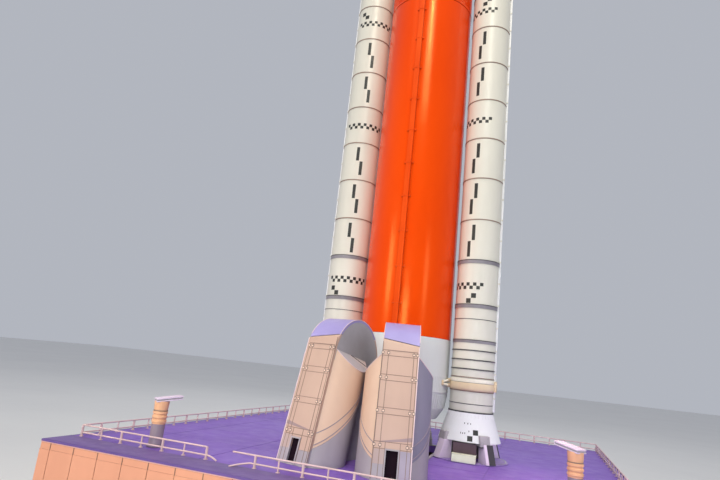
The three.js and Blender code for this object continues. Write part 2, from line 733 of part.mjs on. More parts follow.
core();
boattail();
crewFairing();
abortTower();
engines();
coreTunnel();
feedline("left_feedline", -1);
feedline("right_feedline", 1);
for (const [name, side] of BOOSTER_SIDE) booster(name, side);
deckPlate();
deckWalls();
for (const [name, side] of BOOSTER_SIDE) support(name + "_support", side * BOOSTER_OFFSET, side);
mast("left_tail_mast", -1);
mast("right_tail_mast", 1);
rails();
for (const [name, x, y] of WATER_NOZZLE_PLACES) waterNozzle(name, x, y);

export default part;
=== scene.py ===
# %% [markdown]
# # A space rocket on its launch deck, as a 1:20 display model
#
# The real thing is a museum model: a tall orange core between two white boosters, on a hollow deck with two
# leaning service masts, guard rails and water pillars. Its pieces are mostly turned bodies, so most of this
# lesson draws a profile and spins it. What repeats, such as ribs, rings, bolts and rail posts, is left to
# Geometry Nodes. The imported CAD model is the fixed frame, and every piece here is built where the frame says.

import math

import bmesh
import bpy
from mathutils import Matrix, Vector


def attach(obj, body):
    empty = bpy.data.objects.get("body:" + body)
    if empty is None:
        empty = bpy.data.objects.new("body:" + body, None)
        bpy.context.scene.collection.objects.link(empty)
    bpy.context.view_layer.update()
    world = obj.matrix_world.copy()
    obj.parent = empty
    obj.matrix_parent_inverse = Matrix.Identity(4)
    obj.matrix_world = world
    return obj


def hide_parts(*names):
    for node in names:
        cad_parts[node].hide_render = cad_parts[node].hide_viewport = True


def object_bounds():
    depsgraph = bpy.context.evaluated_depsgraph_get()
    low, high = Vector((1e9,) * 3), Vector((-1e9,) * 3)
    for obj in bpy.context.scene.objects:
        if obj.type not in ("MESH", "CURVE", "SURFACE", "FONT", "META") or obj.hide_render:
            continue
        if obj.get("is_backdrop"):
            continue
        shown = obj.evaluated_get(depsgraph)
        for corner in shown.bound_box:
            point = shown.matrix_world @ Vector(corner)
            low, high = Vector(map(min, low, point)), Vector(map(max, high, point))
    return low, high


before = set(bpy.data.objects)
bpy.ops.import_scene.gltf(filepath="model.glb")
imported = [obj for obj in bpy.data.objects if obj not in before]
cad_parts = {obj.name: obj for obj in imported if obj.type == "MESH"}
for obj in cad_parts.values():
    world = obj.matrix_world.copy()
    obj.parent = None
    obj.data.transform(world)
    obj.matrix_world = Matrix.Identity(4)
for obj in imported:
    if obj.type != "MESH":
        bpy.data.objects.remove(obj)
cad_low, cad_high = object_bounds()
print("frame:", len(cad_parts), "nodes, size", [round(v, 3) for v in cad_high - cad_low])

# %% [markdown]
# ## Sizes
#
# The full-size vehicle's sizes are well known in metres, so they stay in metres here and are multiplied by M.
# Heights on the rocket count from the foot of the boosters' skirts, and heights on the deck from its top.

# %% Scale and main levels
M = 0.05  # metres of model for each full-size metre
DECK_TOP = 0.381
ROCKET_BASE = 0.4585
SEAM = 0.3e-3

CORE_RADIUS = 4.2
CORE_SIDES = 144
BOOSTER_X = 6.363
BOOSTER_RADIUS = 1.855
BOOSTER_SIDES = 96
SIDES = (("left", -1), ("right", 1))


def rocket(x, y, height):
    """A place on the rocket, in model metres."""
    return Vector((x * M, y * M, ROCKET_BASE + height * M))


def on_deck(x, y, height):
    """A place on the deck, in model metres."""
    return Vector((x * M, y * M, DECK_TOP + height * M))


print("rocket stands", round((ROCKET_BASE - DECK_TOP) * 1000), "mm above the deck")

# %% [markdown]
# ## Camera
#
# The photograph is taken close to the deck, a little to the right, looking up and to the left with a tilt.
# Three turns describe that: yaw, pitch and roll. Building the camera's own axes from them is clearer than
# juggling Euler angles.

# %% Camera at the photograph's place
VIEW = {"place": (0.5975, -2.4625, 0.7305), "yaw": 19.5, "pitch": 12.91, "roll": 6.06}
IMAGE_WIDTH = 720
FOCAL_PIXELS = 531.5

yaw, pitch, roll = (math.radians(VIEW[turn]) for turn in ("yaw", "pitch", "roll"))
ahead = Vector((-math.sin(yaw) * math.cos(pitch), math.cos(yaw) * math.cos(pitch), math.sin(pitch)))
level = ahead.cross(Vector((0, 0, 1))).normalized()
upward = level.cross(ahead)
across = level * math.cos(roll) + upward * math.sin(roll)
above = upward * math.cos(roll) - level * math.sin(roll)

camera = bpy.data.objects.new("camera", bpy.data.cameras.new("camera"))
camera.data.sensor_width = 36
camera.data.lens = FOCAL_PIXELS / IMAGE_WIDTH * camera.data.sensor_width
camera.data.clip_start = 0.02
camera.data.clip_end = 200
turn = Matrix((across, above, -ahead)).transposed().to_4x4()
camera.matrix_world = Matrix.Translation(VIEW["place"]) @ turn
bpy.context.scene.collection.objects.link(camera)
bpy.context.scene.camera = camera
print("camera lens", round(camera.data.lens, 2), "mm")

# %% [markdown]
# ## A small kit for materials
#
# Paint is never one flat colour. Each finish here mixes two or three close colours by a cloudy noise, runs a
# finer noise into the roughness, and lays a faint bump over it. A painter could do this in an image, but
# nodes on Object coordinates stay sharp at any size and need no file.

# %% Node helpers


def put(tree, kind, settings=None, links=None, **properties):
    """Adds a node, sets its properties and inputs, and joins the sockets that it takes."""
    node = tree.nodes.new(kind)
    for key, value in properties.items():
        setattr(node, key, value)
    for key, value in (settings or {}).items():
        node.inputs[key].default_value = value
    for key, socket in (links or {}).items():
        tree.links.new(socket, node.inputs[key])
    return node


def colour(r, g, b):
    return (r, g, b, 1.0)


def noise(tree, where, scale, detail=3.0):
    settings = {"Scale": scale, "Detail": detail, "Roughness": 0.55}
    return put(tree, "ShaderNodeTexNoise", settings, {"Vector": where}).outputs["Fac"]


def spread(tree, value, low, high, to_low=0.0, to_high=1.0):
    """Maps a value from one range to another and holds it there."""
    settings = {"From Min": low, "From Max": high, "To Min": to_low, "To Max": to_high}
    return put(tree, "ShaderNodeMapRange", settings, {"Value": value}).outputs["Result"]


def blend_colours(tree, share, first, second):
    """Mixes two colours; each is a colour or a socket."""
    node = put(tree, "ShaderNodeMix", data_type="RGBA")
    for socket, value in ((node.inputs[0], share), (node.inputs[6], first), (node.inputs[7], second)):
        if isinstance(value, bpy.types.NodeSocket):
            tree.links.new(value, socket)
        else:
            socket.default_value = value
    return node.outputs[2]


def new_material(name, **principled):
    """A material with its shader and its Object coordinates."""
    made = bpy.data.materials.new(name)
    made.use_nodes = True
    tree = made.node_tree
    shader = tree.nodes["Principled BSDF"]
    for key, value in principled.items():
        shader.inputs[key.replace("_", " ")].default_value = value
    where = put(tree, "ShaderNodeTexCoord").outputs["Object"]
    return made, tree, shader, where


def finish_bump(tree, shader, height, strength, distance):
    bump = put(tree, "ShaderNodeBump", {"Strength": strength, "Distance": distance}, {"Height": height})
    tree.links.new(bump.outputs["Normal"], shader.inputs["Normal"])


print("helpers ready")

# %% [markdown]
# ## Paint
#
# One function makes every paint on the model. `cloud` sets how fine its patches are, `streak` draws them out
# into upright runs, as brushed and rained-on paint has, and a share of painted shade, found by ambient
# occlusion, darkens the corners and hollows.

# %% Paints


def paint(name, light, dark, rough=(0.35, 0.5), cloud=6.0, streak=1.0, corner_shade=0.35, bump=0.08, **principled):
    made, tree, shader, where = new_material(name, **principled)
    stretched = put(tree, "ShaderNodeMapping", {"Scale": (1, 1, 1 / streak)}, {"Vector": where})
    patches = noise(tree, stretched.outputs["Vector"], cloud, 5.0)
    tint = blend_colours(tree, spread(tree, patches, 0.35, 0.68), colour(*light), colour(*dark))
    specks = noise(tree, where, cloud * 23, 3.0)
    freckled = blend_colours(tree, spread(tree, specks, 0.62, 0.74, 0.0, 0.22), tint, colour(*dark))
    # Painted shade: ambient occlusion darkens the colour in corners and hollows, by the given share.
    hollow = put(tree, "ShaderNodeAmbientOcclusion", {"Distance": 0.018}, samples=4)
    shade = spread(tree, hollow.outputs["AO"], 0.35, 0.95, corner_shade, 0.0)
    corner_shaded = blend_colours(tree, shade, freckled, colour(*(0.45 * v for v in dark)))
    tree.links.new(corner_shaded, shader.inputs["Base Color"])
    handling = noise(tree, where, cloud * 5, 4.0)
    tree.links.new(spread(tree, handling, 0.3, 0.7, *rough), shader.inputs["Roughness"])
    finish_bump(tree, shader, noise(tree, where, cloud * 45, 2.0), bump, 0.0006)
    return made


booster_white = paint("booster white", (0.80, 0.77, 0.68), (0.72, 0.69, 0.61), (0.32, 0.46), 5.0, 3.0)
stage_white = paint("stage white", (0.79, 0.80, 0.78), (0.71, 0.72, 0.70), (0.34, 0.5), 6.0, 2.0)
GLOW = (1.0, 0.42, 0.10, 1.0)
tank_orange = paint(
    "tank orange",
    (0.93, 0.072, 0.002),
    (0.82, 0.05, 0.001),
    (0.13, 0.24),
    cloud=3.0,
    streak=4.0,
    corner_shade=0.5,
    bump=0.03,
    Specular_Tint=GLOW,
)
tunnel_orange = paint(
    "tunnel orange", (0.92, 0.085, 0.008), (0.80, 0.06, 0.006), (0.26, 0.4), 9.0, 2.0, Specular_Tint=GLOW
)
ring_grey = paint("ring grey", (0.31, 0.29, 0.32), (0.22, 0.2, 0.23), (0.35, 0.5), 12.0)
line_brown = paint("joint brown", (0.36, 0.25, 0.19), (0.24, 0.16, 0.13), (0.4, 0.55), 14.0)
line_dark = paint("line dark", (0.07, 0.06, 0.07), (0.045, 0.04, 0.05), (0.4, 0.55), 14.0)
mark_black = paint("marking black", (0.018, 0.018, 0.016), (0.028, 0.027, 0.024), (0.4, 0.55), 16.0)
fitting_cream = paint("fitting cream", (0.88, 0.70, 0.48), (0.80, 0.60, 0.39), (0.35, 0.5), 12.0)
fitting_pale = paint("fitting pale", (0.95, 0.89, 0.77), (0.87, 0.81, 0.69), (0.35, 0.5), 12.0)
# The skirts' white, used also on the boosters' cable tunnel covers, where it is a painted highlight.
skirt_and_highlight_white = paint("skirt white", (0.90, 0.90, 0.92), (0.83, 0.83, 0.85), (0.34, 0.48), 6.0, 2.0)
block_cream = paint("block cream", (0.94, 0.96, 0.72), (0.87, 0.88, 0.64), (0.35, 0.5), 12.0)
mast_tan = paint("mast tan", (0.60, 0.40, 0.32), (0.53, 0.35, 0.28), (0.38, 0.52), 7.0, 2.0)
mast_grey = paint("mast grey", (0.42, 0.37, 0.41), (0.34, 0.30, 0.335), (0.38, 0.55), 8.0, 2.0)
# Lit and shaded copies of the shell's tan: painted light for the cheek towards the other mast, painted shade
# for the outer cheek.
lit_cheek_tan = paint("lit cheek tan", (0.74, 0.51, 0.385), (0.66, 0.445, 0.335), (0.36, 0.52), 8.0, 2.0)
shaded_cheek_grey = paint("shaded cheek grey", (0.27, 0.245, 0.33), (0.215, 0.195, 0.275), (0.38, 0.55), 8.0, 2.0)
roof_grey = paint("roof grey", (0.58, 0.55, 0.58), (0.49, 0.46, 0.49), (0.38, 0.55), 8.0)
roof_pale = paint("roof pale", (0.68, 0.60, 0.58), (0.58, 0.51, 0.49), (0.38, 0.55), 8.0)
hood_lilac = paint("hood lilac", (0.38, 0.33, 0.66), (0.33, 0.28, 0.59), (0.36, 0.5), 8.0)
disc_grey = paint("disc grey", (0.44, 0.42, 0.46), (0.34, 0.31, 0.33), (0.28, 0.45), 6.0)
# The deck's violets are partly its own paint and partly the violet light of the hall, painted into the colour.
deck_violet = paint("deck violet", (0.25, 0.125, 0.56), (0.20, 0.095, 0.47), (0.4, 0.62), 4.0)
margin_violet = paint("margin violet", (0.175, 0.10, 0.33), (0.14, 0.08, 0.27), (0.42, 0.6), 5.0)
wall_tan = paint("wall tan", (0.80, 0.37, 0.235), (0.70, 0.315, 0.20), (0.42, 0.58), 4.0, 2.0)
rail_cream = paint("rail cream", (0.80, 0.57, 0.58), (0.70, 0.51, 0.48), (0.3, 0.45), 20.0)
post_pale = paint("post pale", (0.84, 0.70, 0.86), (0.74, 0.61, 0.76), (0.35, 0.5), 10.0)
shoe_grey = paint("shoe grey", (0.49, 0.44, 0.47), (0.41, 0.37, 0.40), (0.38, 0.52), 12.0)
bed_lilac = paint("bed lilac", (0.34, 0.23, 0.56), (0.28, 0.185, 0.48), (0.38, 0.52), 12.0)
# Near-black brown for painted shade: it fills the skirts' hollows and the shadowed space under them.
recess_shade = paint("recess shade", (0.13, 0.075, 0.095), (0.08, 0.045, 0.06), (0.5, 0.7), 12.0)
print(len(bpy.data.materials), "materials with the frame's own")

# %% [markdown]
# Bare metal needs its own recipe: the colour comes from heat and polish, so it has a metallic shader, two
# close tints in broad patches and fine upright brush marks in its roughness.

# %% Bare metals


def bare_metal(name, light, dark, rough=(0.28, 0.48)):
    made, tree, shader, where = new_material(name, Metallic=0.9)
    tint = noise(tree, where, 9.0, 4.0)
    mixed = blend_colours(tree, spread(tree, tint, 0.35, 0.65), colour(*light), colour(*dark))
    tree.links.new(mixed, shader.inputs["Base Color"])
    drawn = put(tree, "ShaderNodeMapping", {"Scale": (1, 1, 0.06)}, {"Vector": where}).outputs["Vector"]
    lines = noise(tree, drawn, 180.0)
    tree.links.new(spread(tree, lines, 0.3, 0.7, *rough), shader.inputs["Roughness"])
    finish_bump(tree, shader, lines, 0.06, 0.0005)
    return made


nozzle_metal = bare_metal("nozzle metal", (0.34, 0.30, 0.27), (0.20, 0.18, 0.18))
steel = bare_metal("fitting steel", (0.52, 0.51, 0.52), (0.40, 0.39, 0.41), (0.3, 0.5))
print("metals ready")

# %% [markdown]
# ## Turned bodies
#
# A lathe body needs a profile, which is a list of [radius, height], and a number of sides. Blender's Screw
# modifier could spin it, but spinning it in code closes the poles with one point each and leaves no doubles.
# Small chamfers are part of the profile, because a sharp rim never catches the light.

# %% Making a piece
CREASE = math.radians(32)


def piece(name, points, faces, material, slot=None, replaces=(), bevel=0.0):
    """A finished object from points in model metres. It rides on the frame's body."""
    mesh = bpy.data.meshes.new(name)
    mesh.from_pydata([tuple(point) for point in points], [], faces)
    work = bmesh.new()
    work.from_mesh(mesh)
    bmesh.ops.remove_doubles(work, verts=work.verts, dist=1e-6)
    bmesh.ops.recalc_face_normals(work, faces=work.faces)
    if bevel:
        sharp = [edge for edge in work.edges if edge.is_manifold and edge.calc_face_angle(0) > CREASE]
        bmesh.ops.bevel(work, geom=sharp, offset=bevel * M, segments=2, profile=0.7, affect="EDGES")
    work.to_mesh(mesh)
    work.free()
    return settle(name, mesh, material, slot, replaces)


def settle(name, mesh, material, slot=None, replaces=()):
    """Shades a mesh, makes it an object, hangs it on the root body and hides the CAD parts it replaces."""
    mesh.materials.clear()
    mesh.materials.append(material)
    mesh.shade_smooth()
    mesh.set_sharp_from_angle(angle=CREASE)
    made = bpy.data.objects.new(name, mesh)
    bpy.context.scene.collection.objects.link(made)
    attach(made, "root")
    if replaces:
        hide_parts(*replaces)
    return made


def spin(profile, sides, x=0.0, y=0.0, place=rocket):
    """Points and faces of a turned body. A profile with both ends off the axis becomes a closed ring."""
    points, faces, rings = [], [], []
    for radius, height in profile:
        count = sides if radius > 1e-6 else 1
        start = len(points)
        for i in range(count):
            angle = 2 * math.pi * i / sides
            points.append(place(x + radius * math.cos(angle), y + radius * math.sin(angle), height))
        rings.append(range(start, start + count))
    pairs = list(zip(rings, rings[1:]))
    if len(rings[0]) > 1 and len(rings[-1]) > 1:
        pairs.append((rings[-1], rings[0]))
    for low, high in pairs:
        for i in range(sides):
            j = (i + 1) % sides
            corners = [low[i % len(low)], low[j % len(low)], high[j % len(high)], high[i % len(high)]]
            faces.append(list(dict.fromkeys(corners)))
    return points, faces


def drum(low, high, radius, top_radius=None, grooves=(), edge=0.03):
    """The profile of a drum or cone with chamfered rims and shallow grooves at some heights."""
    top_radius = radius if top_radius is None else top_radius
    width, depth = 0.03, 0.02

    def at(height):
        return radius + (top_radius - radius) * (height - low) / (high - low)

    profile = [[0, low], [radius - edge, low], [at(low + edge), low + edge]]
    for groove in grooves:
        profile += [[at(groove - width), groove - width], [at(groove) - depth, groove - width / 3]]
        profile += [[at(groove) - depth, groove + width / 3], [at(groove + width), groove + width]]
    return profile + [[at(high - edge), high - edge], [top_radius - edge, high], [0, high]]


def turned(name, profile, sides, material, slot=None, replaces=(), x=0.0, y=0.0, place=rocket):
    points, faces = spin(profile, sides, x, y, place)
    return piece(name, points, faces, material, slot, replaces)


def block(low, high, place=rocket):
    """Points and faces of a box between two corners."""
    points = [place(x, y, z) for x in (low[0], high[0]) for y in (low[1], high[1]) for z in (low[2], high[2])]
    faces = [[0, 1, 3, 2], [4, 6, 7, 5], [0, 4, 5, 1], [2, 3, 7, 6], [0, 2, 6, 4], [1, 5, 7, 3]]
    return points, faces


def merged(*shapes):
    """Several (points, faces) as one."""
    points, faces = [], []
    for more_points, more_faces in shapes:
        start = len(points)
        points += list(more_points)
        faces += [[start + i for i in face] for face in more_faces]
    return points, faces


def tube(path, radius, sides=16):
    """Points and faces of a round bar along a list of places, with flat ends."""
    points, faces = [], []
    side = None
    for i, here in enumerate(path):
        before = path[max(i - 1, 0)]
        after = path[min(i + 1, len(path) - 1)]
        along = (after - before).normalized()
        if side is None:
            side = along.orthogonal().normalized()
        side = (side - along * side.dot(along)).normalized()
        other = along.cross(side)
        for k in range(sides):
            angle = 2 * math.pi * k / sides
            points.append(here + (side * math.cos(angle) + other * math.sin(angle)) * radius)
    for i in range(len(path) - 1):
        for k in range(sides):
            j = (k + 1) % sides
            faces.append([i * sides + k, i * sides + j, (i + 1) * sides + j, (i + 1) * sides + k])
    faces.append(list(range(sides)))
    faces.append([len(points) - sides + k for k in range(sides)])
    return points, faces


print("lathe ready")

# %% [markdown]
# ## Geometry Nodes for what repeats
#
# Ribs, bolts, brackets and rings are one small shape many times over. A node tree keeps that rule in one
# place, with named inputs: change Copies and the whole row follows. Each tree ends in Realize Instances and
# Set Material, and `grow` turns its result into a plain mesh.

# %% Tree helpers


def new_tree(name, *inputs):
    """A Geometry Nodes tree with named inputs. Returns it, its input sockets and its output node."""
    tree = bpy.data.node_groups.new(name, "GeometryNodeTree")
    tree.interface.new_socket(name="Geometry", in_out="OUTPUT", socket_type="NodeSocketGeometry")
    for label, kind in inputs:
        tree.interface.new_socket(name=label, in_out="INPUT", socket_type="NodeSocket" + kind)
    given = tree.nodes.new("NodeGroupInput").outputs
    return tree, given, tree.nodes.new("NodeGroupOutput")


def calc(tree, operation, *values):
    """One step of arithmetic on sockets and numbers."""
    node = put(tree, "ShaderNodeMath", operation=operation)
    for i, value in enumerate(values):
        if isinstance(value, bpy.types.NodeSocket):
            tree.links.new(value, node.inputs[i])
        else:
            node.inputs[i].default_value = value
    return node.outputs[0]


def vector(tree, *values):
    node = put(tree, "ShaderNodeCombineXYZ")
    for i, value in enumerate(values):
        if isinstance(value, bpy.types.NodeSocket):
            tree.links.new(value, node.inputs[i])
        else:
            node.inputs[i].default_value = value
    return node.outputs[0]


def close_tree(tree, output, geometry, material):
    """Realize Instances, Set Material and the way out."""
    real = put(tree, "GeometryNodeRealizeInstances", links={"Geometry": geometry}).outputs[0]
    dressed = put(tree, "GeometryNodeSetMaterial", links={"Geometry": real, "Material": material})
    tree.links.new(dressed.outputs[0], output.inputs[0])


def grow(name, tree, values, material, slot=None):
    """Runs a tree and keeps its result as a plain mesh piece."""
    host = bpy.data.objects.new(name + "_host", bpy.data.meshes.new(name))
    bpy.context.scene.collection.objects.link(host)
    modifier = host.modifiers.new("rule", "NODES")
    modifier.node_group = tree
    values = dict(values, Material=material)
    for item in tree.interface.items_tree:
        if item.in_out == "INPUT" and item.name in values:
            modifier[item.identifier] = values[item.name]
    shaped = host.evaluated_get(bpy.context.evaluated_depsgraph_get())
    mesh = bpy.data.meshes.new_from_object(shaped)
    mesh.name = name
    host.modifiers.clear()
    bpy.data.objects.remove(host)
    return settle(name, mesh, material, slot)


print("tree helpers ready")

# %% [markdown]
# The first tree sets a row of copies round a drum or cone. The index of a point gives its angle, and the copy
# is turned to face outwards.

# %% Copies round a drum


def round_tree(name, template):
    tree, given, output = new_tree(
        name,
        ("Copies", "Int"),
        ("Radius", "Float"),
        ("Height", "Float"),
        ("Start Angle", "Float"),
        ("Arc", "Float"),
        ("Tilt", "Float"),
        ("Centre", "Vector"),
        ("Size", "Vector"),
        ("Material", "Material"),
    )
    line = put(tree, "GeometryNodeMeshLine", links={"Count": given["Copies"]}).outputs[0]
    index = put(tree, "GeometryNodeInputIndex").outputs[0]
    angle_step = calc(tree, "DIVIDE", given["Arc"], given["Copies"])
    angle = calc(tree, "MULTIPLY_ADD", index, angle_step, given["Start Angle"])
    x = calc(tree, "MULTIPLY", given["Radius"], calc(tree, "COSINE", angle))
    y = calc(tree, "MULTIPLY", given["Radius"], calc(tree, "SINE", angle))
    local = vector(tree, x, y, given["Height"])
    where = put(tree, "ShaderNodeVectorMath", links={0: local, 1: given["Centre"]}).outputs[0]
    placed = put(tree, "GeometryNodeSetPosition", links={"Geometry": line, "Position": where}).outputs[0]
    if template == "rib":
        shape = put(tree, "GeometryNodeMeshCube", links={"Size": given["Size"]}).outputs[0]
        lean = given["Tilt"]
    else:
        size = put(tree, "ShaderNodeSeparateXYZ", links={0: given["Size"]}).outputs
        links = {"Depth": size[0], "Radius": calc(tree, "MULTIPLY", size[1], 0.5)}
        shape = put(tree, "GeometryNodeMeshCylinder", {"Vertices": 8}, links).outputs[0]
        lean = calc(tree, "ADD", given["Tilt"], math.pi / 2)
    turns = vector(tree, 0.0, lean, angle)
    links = {"Points": placed, "Instance": shape, "Rotation": turns}
    copies = put(tree, "GeometryNodeInstanceOnPoints", links=links).outputs[0]
    close_tree(tree, output, copies, given["Material"])
    return tree


ribs_round = round_tree("ribs round a drum", "rib")
bolts_round = round_tree("bolts round a drum", "bolt")


def round_values(copies, radius, height, size, x=0.0, start=0.0, arc=360.0, tilt=0.0):
    """The tree's inputs, from full-size metres, degrees and rocket heights."""
    return {
        "Copies": copies,
        "Radius": radius * M,
        "Height": height * M,
        "Start Angle": math.radians(start),
        "Arc": math.radians(arc),
        "Tilt": math.radians(tilt),
        "Centre": rocket(x, 0, 0),
        "Size": [v * M for v in size],
    }


print("round trees ready")

# %% [markdown]
# The second tree sets copies along a line, for clips, straps and plates.

# %% Copies along a line


def line_tree(name):
    tree, given, output = new_tree(
        name,
        ("Count", "Int"),
        ("Start", "Vector"),
        ("Step", "Vector"),
        ("Size", "Vector"),
        ("Material", "Material"),
    )
    links = {"Count": given["Count"], "Start Location": given["Start"], "Offset": given["Step"]}
    line = put(tree, "GeometryNodeMeshLine", links=links).outputs[0]
    shape = put(tree, "GeometryNodeMeshCube", links={"Size": given["Size"]}).outputs[0]
    copies = put(tree, "GeometryNodeInstanceOnPoints", links={"Points": line, "Instance": shape}).outputs[0]
    close_tree(tree, output, copies, given["Material"])
    return tree


copies_along = line_tree("copies along a line")


def line_values(count, start, step, size):
    return {"Count": count, "Start": start, "Step": [v * M for v in step], "Size": [v * M for v in size]}


print("line tree ready")

# %% [markdown]
# The third tree stacks rings up a drum. Each ring is a circle swept with a small rectangle, which is what a
# joint band is.

# %% Rings up a drum


def ring_tree(name):
    tree, given, output = new_tree(
        name,
        ("Count", "Int"),
        ("Radius", "Float"),
        ("Start", "Vector"),
        ("Step", "Float"),
        ("Bead Height", "Float"),
        ("Bead Depth", "Float"),
        ("Sides", "Int"),
        ("Material", "Material"),
    )
    offset = vector(tree, 0.0, 0.0, given["Step"])
    links = {"Count": given["Count"], "Start Location": given["Start"], "Offset": offset}
    line = put(tree, "GeometryNodeMeshLine", links=links).outputs[0]
    links = {"Resolution": given["Sides"], "Radius": given["Radius"]}
    circle = put(tree, "GeometryNodeCurvePrimitiveCircle", links=links).outputs[0]
    links = {"Width": given["Bead Depth"], "Height": given["Bead Height"]}
    section = put(tree, "GeometryNodeCurvePrimitiveQuadrilateral", links=links).outputs[0]
    links = {"Curve": circle, "Profile Curve": section}
    swept = put(tree, "GeometryNodeCurveToMesh", links=links).outputs[0]
    links = {"Points": line, "Instance": swept}
    copies = put(tree, "GeometryNodeInstanceOnPoints", links=links).outputs[0]
    close_tree(tree, output, copies, given["Material"])
    return tree


rings_up = ring_tree("rings up a drum")


def rings(name, material, slot, radius, first, height, depth, count=1, step=0.0, x=0.0, sides=BOOSTER_SIDES):
    """Rings that stand proud of a drum of that radius by their depth, and reach as far into it."""
    values = {
        "Count": count,
        "Radius": radius * M,
        "Start": rocket(x, 0, first),
        "Step": step * M,
        "Bead Height": height * M,
        "Bead Depth": 2 * depth * M,
        "Sides": sides,
    }
    return grow(name, rings_up, values, material, slot)


print("ring tree ready")

# %% [markdown]
# The fourth tree lays a checkered strip out flat, thickens it and wraps it round a drum. Painting the squares
# in a shader would work too, but tiles with real edges stay crisp in any view.

# %% A wrapped checker


def checker_tree(name):
    tree, given, output = new_tree(
        name,
        ("Columns", "Int"),
        ("Rows", "Int"),
        ("Cell", "Float"),
        ("Radius", "Float"),
        ("Thickness", "Float"),
        ("Start Angle", "Float"),
        ("Start", "Vector"),
        ("Material", "Material"),
    )
    width = calc(tree, "MULTIPLY", given["Columns"], given["Cell"])
    height = calc(tree, "MULTIPLY", given["Rows"], given["Cell"])
    links = {
        "Size X": width,
        "Size Y": height,
        "Vertices X": calc(tree, "ADD", given["Columns"], 1.0),
        "Vertices Y": calc(tree, "ADD", given["Rows"], 1.0),
    }
    grid = put(tree, "GeometryNodeMeshGrid", links=links).outputs[0]
    position = put(tree, "GeometryNodeInputPosition").outputs[0]
    at = put(tree, "ShaderNodeSeparateXYZ", links={0: position}).outputs
    from_start = calc(tree, "MULTIPLY_ADD", width, 0.5, at[0])
    from_foot = calc(tree, "MULTIPLY_ADD", height, 0.5, at[1])
    column = calc(tree, "FLOOR", calc(tree, "DIVIDE", from_start, given["Cell"]))
    row = calc(tree, "FLOOR", calc(tree, "DIVIDE", from_foot, given["Cell"]))
    odd = calc(tree, "MODULO", calc(tree, "ADD", calc(tree, "ADD", column, row), 100.0), 2.0)
    links = {"Geometry": grid, "Selection": calc(tree, "LESS_THAN", odd, 0.5)}
    kept = put(tree, "GeometryNodeDeleteGeometry", links=links, domain="FACE").outputs[0]
    parted = put(tree, "GeometryNodeSplitEdges", links={"Mesh": kept}).outputs[0]
    shrink = {"Scale": 0.985}
    apart = put(tree, "GeometryNodeScaleElements", shrink, {"Geometry": parted}, domain="FACE").outputs[0]
    fine = put(tree, "GeometryNodeSubdivideMesh", {"Level": 1}, {"Mesh": apart}).outputs[0]
    links = {"Mesh": fine, "Offset Scale": given["Thickness"]}
    raised = put(tree, "GeometryNodeExtrudeMesh", {"Individual": False}, links, mode="FACES").outputs[0]
    under = put(tree, "GeometryNodeFlipFaces", links={"Mesh": fine}).outputs[0]
    both = put(tree, "GeometryNodeJoinGeometry")
    tree.links.new(raised, both.inputs[0])
    tree.links.new(under, both.inputs[0])
    links = {"Geometry": both.outputs[0]}
    closed = put(tree, "GeometryNodeMergeByDistance", {"Distance": 1e-6}, links).outputs[0]
    angle = calc(tree, "ADD", calc(tree, "DIVIDE", from_start, given["Radius"]), given["Start Angle"])
    out = calc(tree, "ADD", given["Radius"], at[2])
    x = calc(tree, "MULTIPLY", out, calc(tree, "COSINE", angle))
    y = calc(tree, "MULTIPLY", out, calc(tree, "SINE", angle))
    local = vector(tree, x, y, at[1])
    where = put(tree, "ShaderNodeVectorMath", links={0: local, 1: given["Start"]}).outputs[0]
    wrapped = put(tree, "GeometryNodeSetPosition", links={"Geometry": closed, "Position": where}).outputs[0]
    close_tree(tree, output, wrapped, given["Material"])
    return tree


checker = checker_tree("wrapped checker")
print("checker tree ready")

# %% [markdown]
# ## The core
#
# The core is a stack of drums: engine section, fuel tank, ribbed intertank, oxygen tank and forward skirt,
# then the white stages. The CAD drums have 48 sides, which shows as flats on a glossy tank, so each is spun
# again here with 144 sides and chamfered rims. The white stages also get shallow weld grooves.

# %% Core drums
STACK = (
    # CAD node, low, high, radius, top radius, weld grooves, material, slot
    ("core_engine_section", 3.6, 8.2, 4.2, 4.2, (), stage_white, "white"),
    ("core_fuel_tank", 8.2, 41.8, 4.2, 4.2, (), tank_orange, "orange"),
    ("core_intertank", 41.8, 48.5, 4.12, 4.12, (), tank_orange, "orange"),
    ("core_oxygen_tank", 48.5, 60.0, 4.2, 4.2, (), tank_orange, "orange"),
    ("core_forward_skirt", 60.0, 63.2, 4.13, 4.13, (), tank_orange, "orange"),
    ("stage_adapter", 63.2, 71.6, 4.2, 2.55, (65.2, 67.3, 69.4), stage_white, "white"),
    ("upper_stage", 71.6, 76.2, 2.55, 2.55, (72.9, 74.6), stage_white, "white"),
    ("spacecraft_adapter", 76.2, 77.7, 2.55, 2.75, (), stage_white, "white"),
    ("service_module", 77.7, 81.3, 2.75, 2.75, (78.9, 80.1), stage_white, "white"),
)
for node, low, high, radius, top_radius, grooves, material, slot in STACK:
    profile = drum(low, high - SEAM / M, radius, top_radius, grooves)
    turned(node + "_skin", profile, CORE_SIDES, material, slot, (node,))
_, tank_low, tank_high, *_ = STACK[1]
print(len(STACK), "drums, fuel tank", round((tank_high - tank_low) * M, 3), "m tall")

# %% [markdown]
# The boattail is a short cone under the engine section, with upright stiffeners. The bullet-shaped fairing
# and the slim abort tower finish the top. The tower's own motor nozzles sit in rings round it.

# %% Boattail, fairing and tower
CREW_FAIRING = {"low": 81.3, "high": 86.3, "base": 2.68, "top": 0.62, "power": 1.7}

boattail = [[0, 1.3], [3.34, 1.3], [3.4, 1.36], [3.93, 2.17], [3.97, 2.24]]
boattail += [[4.17, 3.5], [4.17, 3.594], [0, 3.594]]
turned("core_boattail_skin", boattail, CORE_SIDES, stage_white, "white", ("core_boattail",))

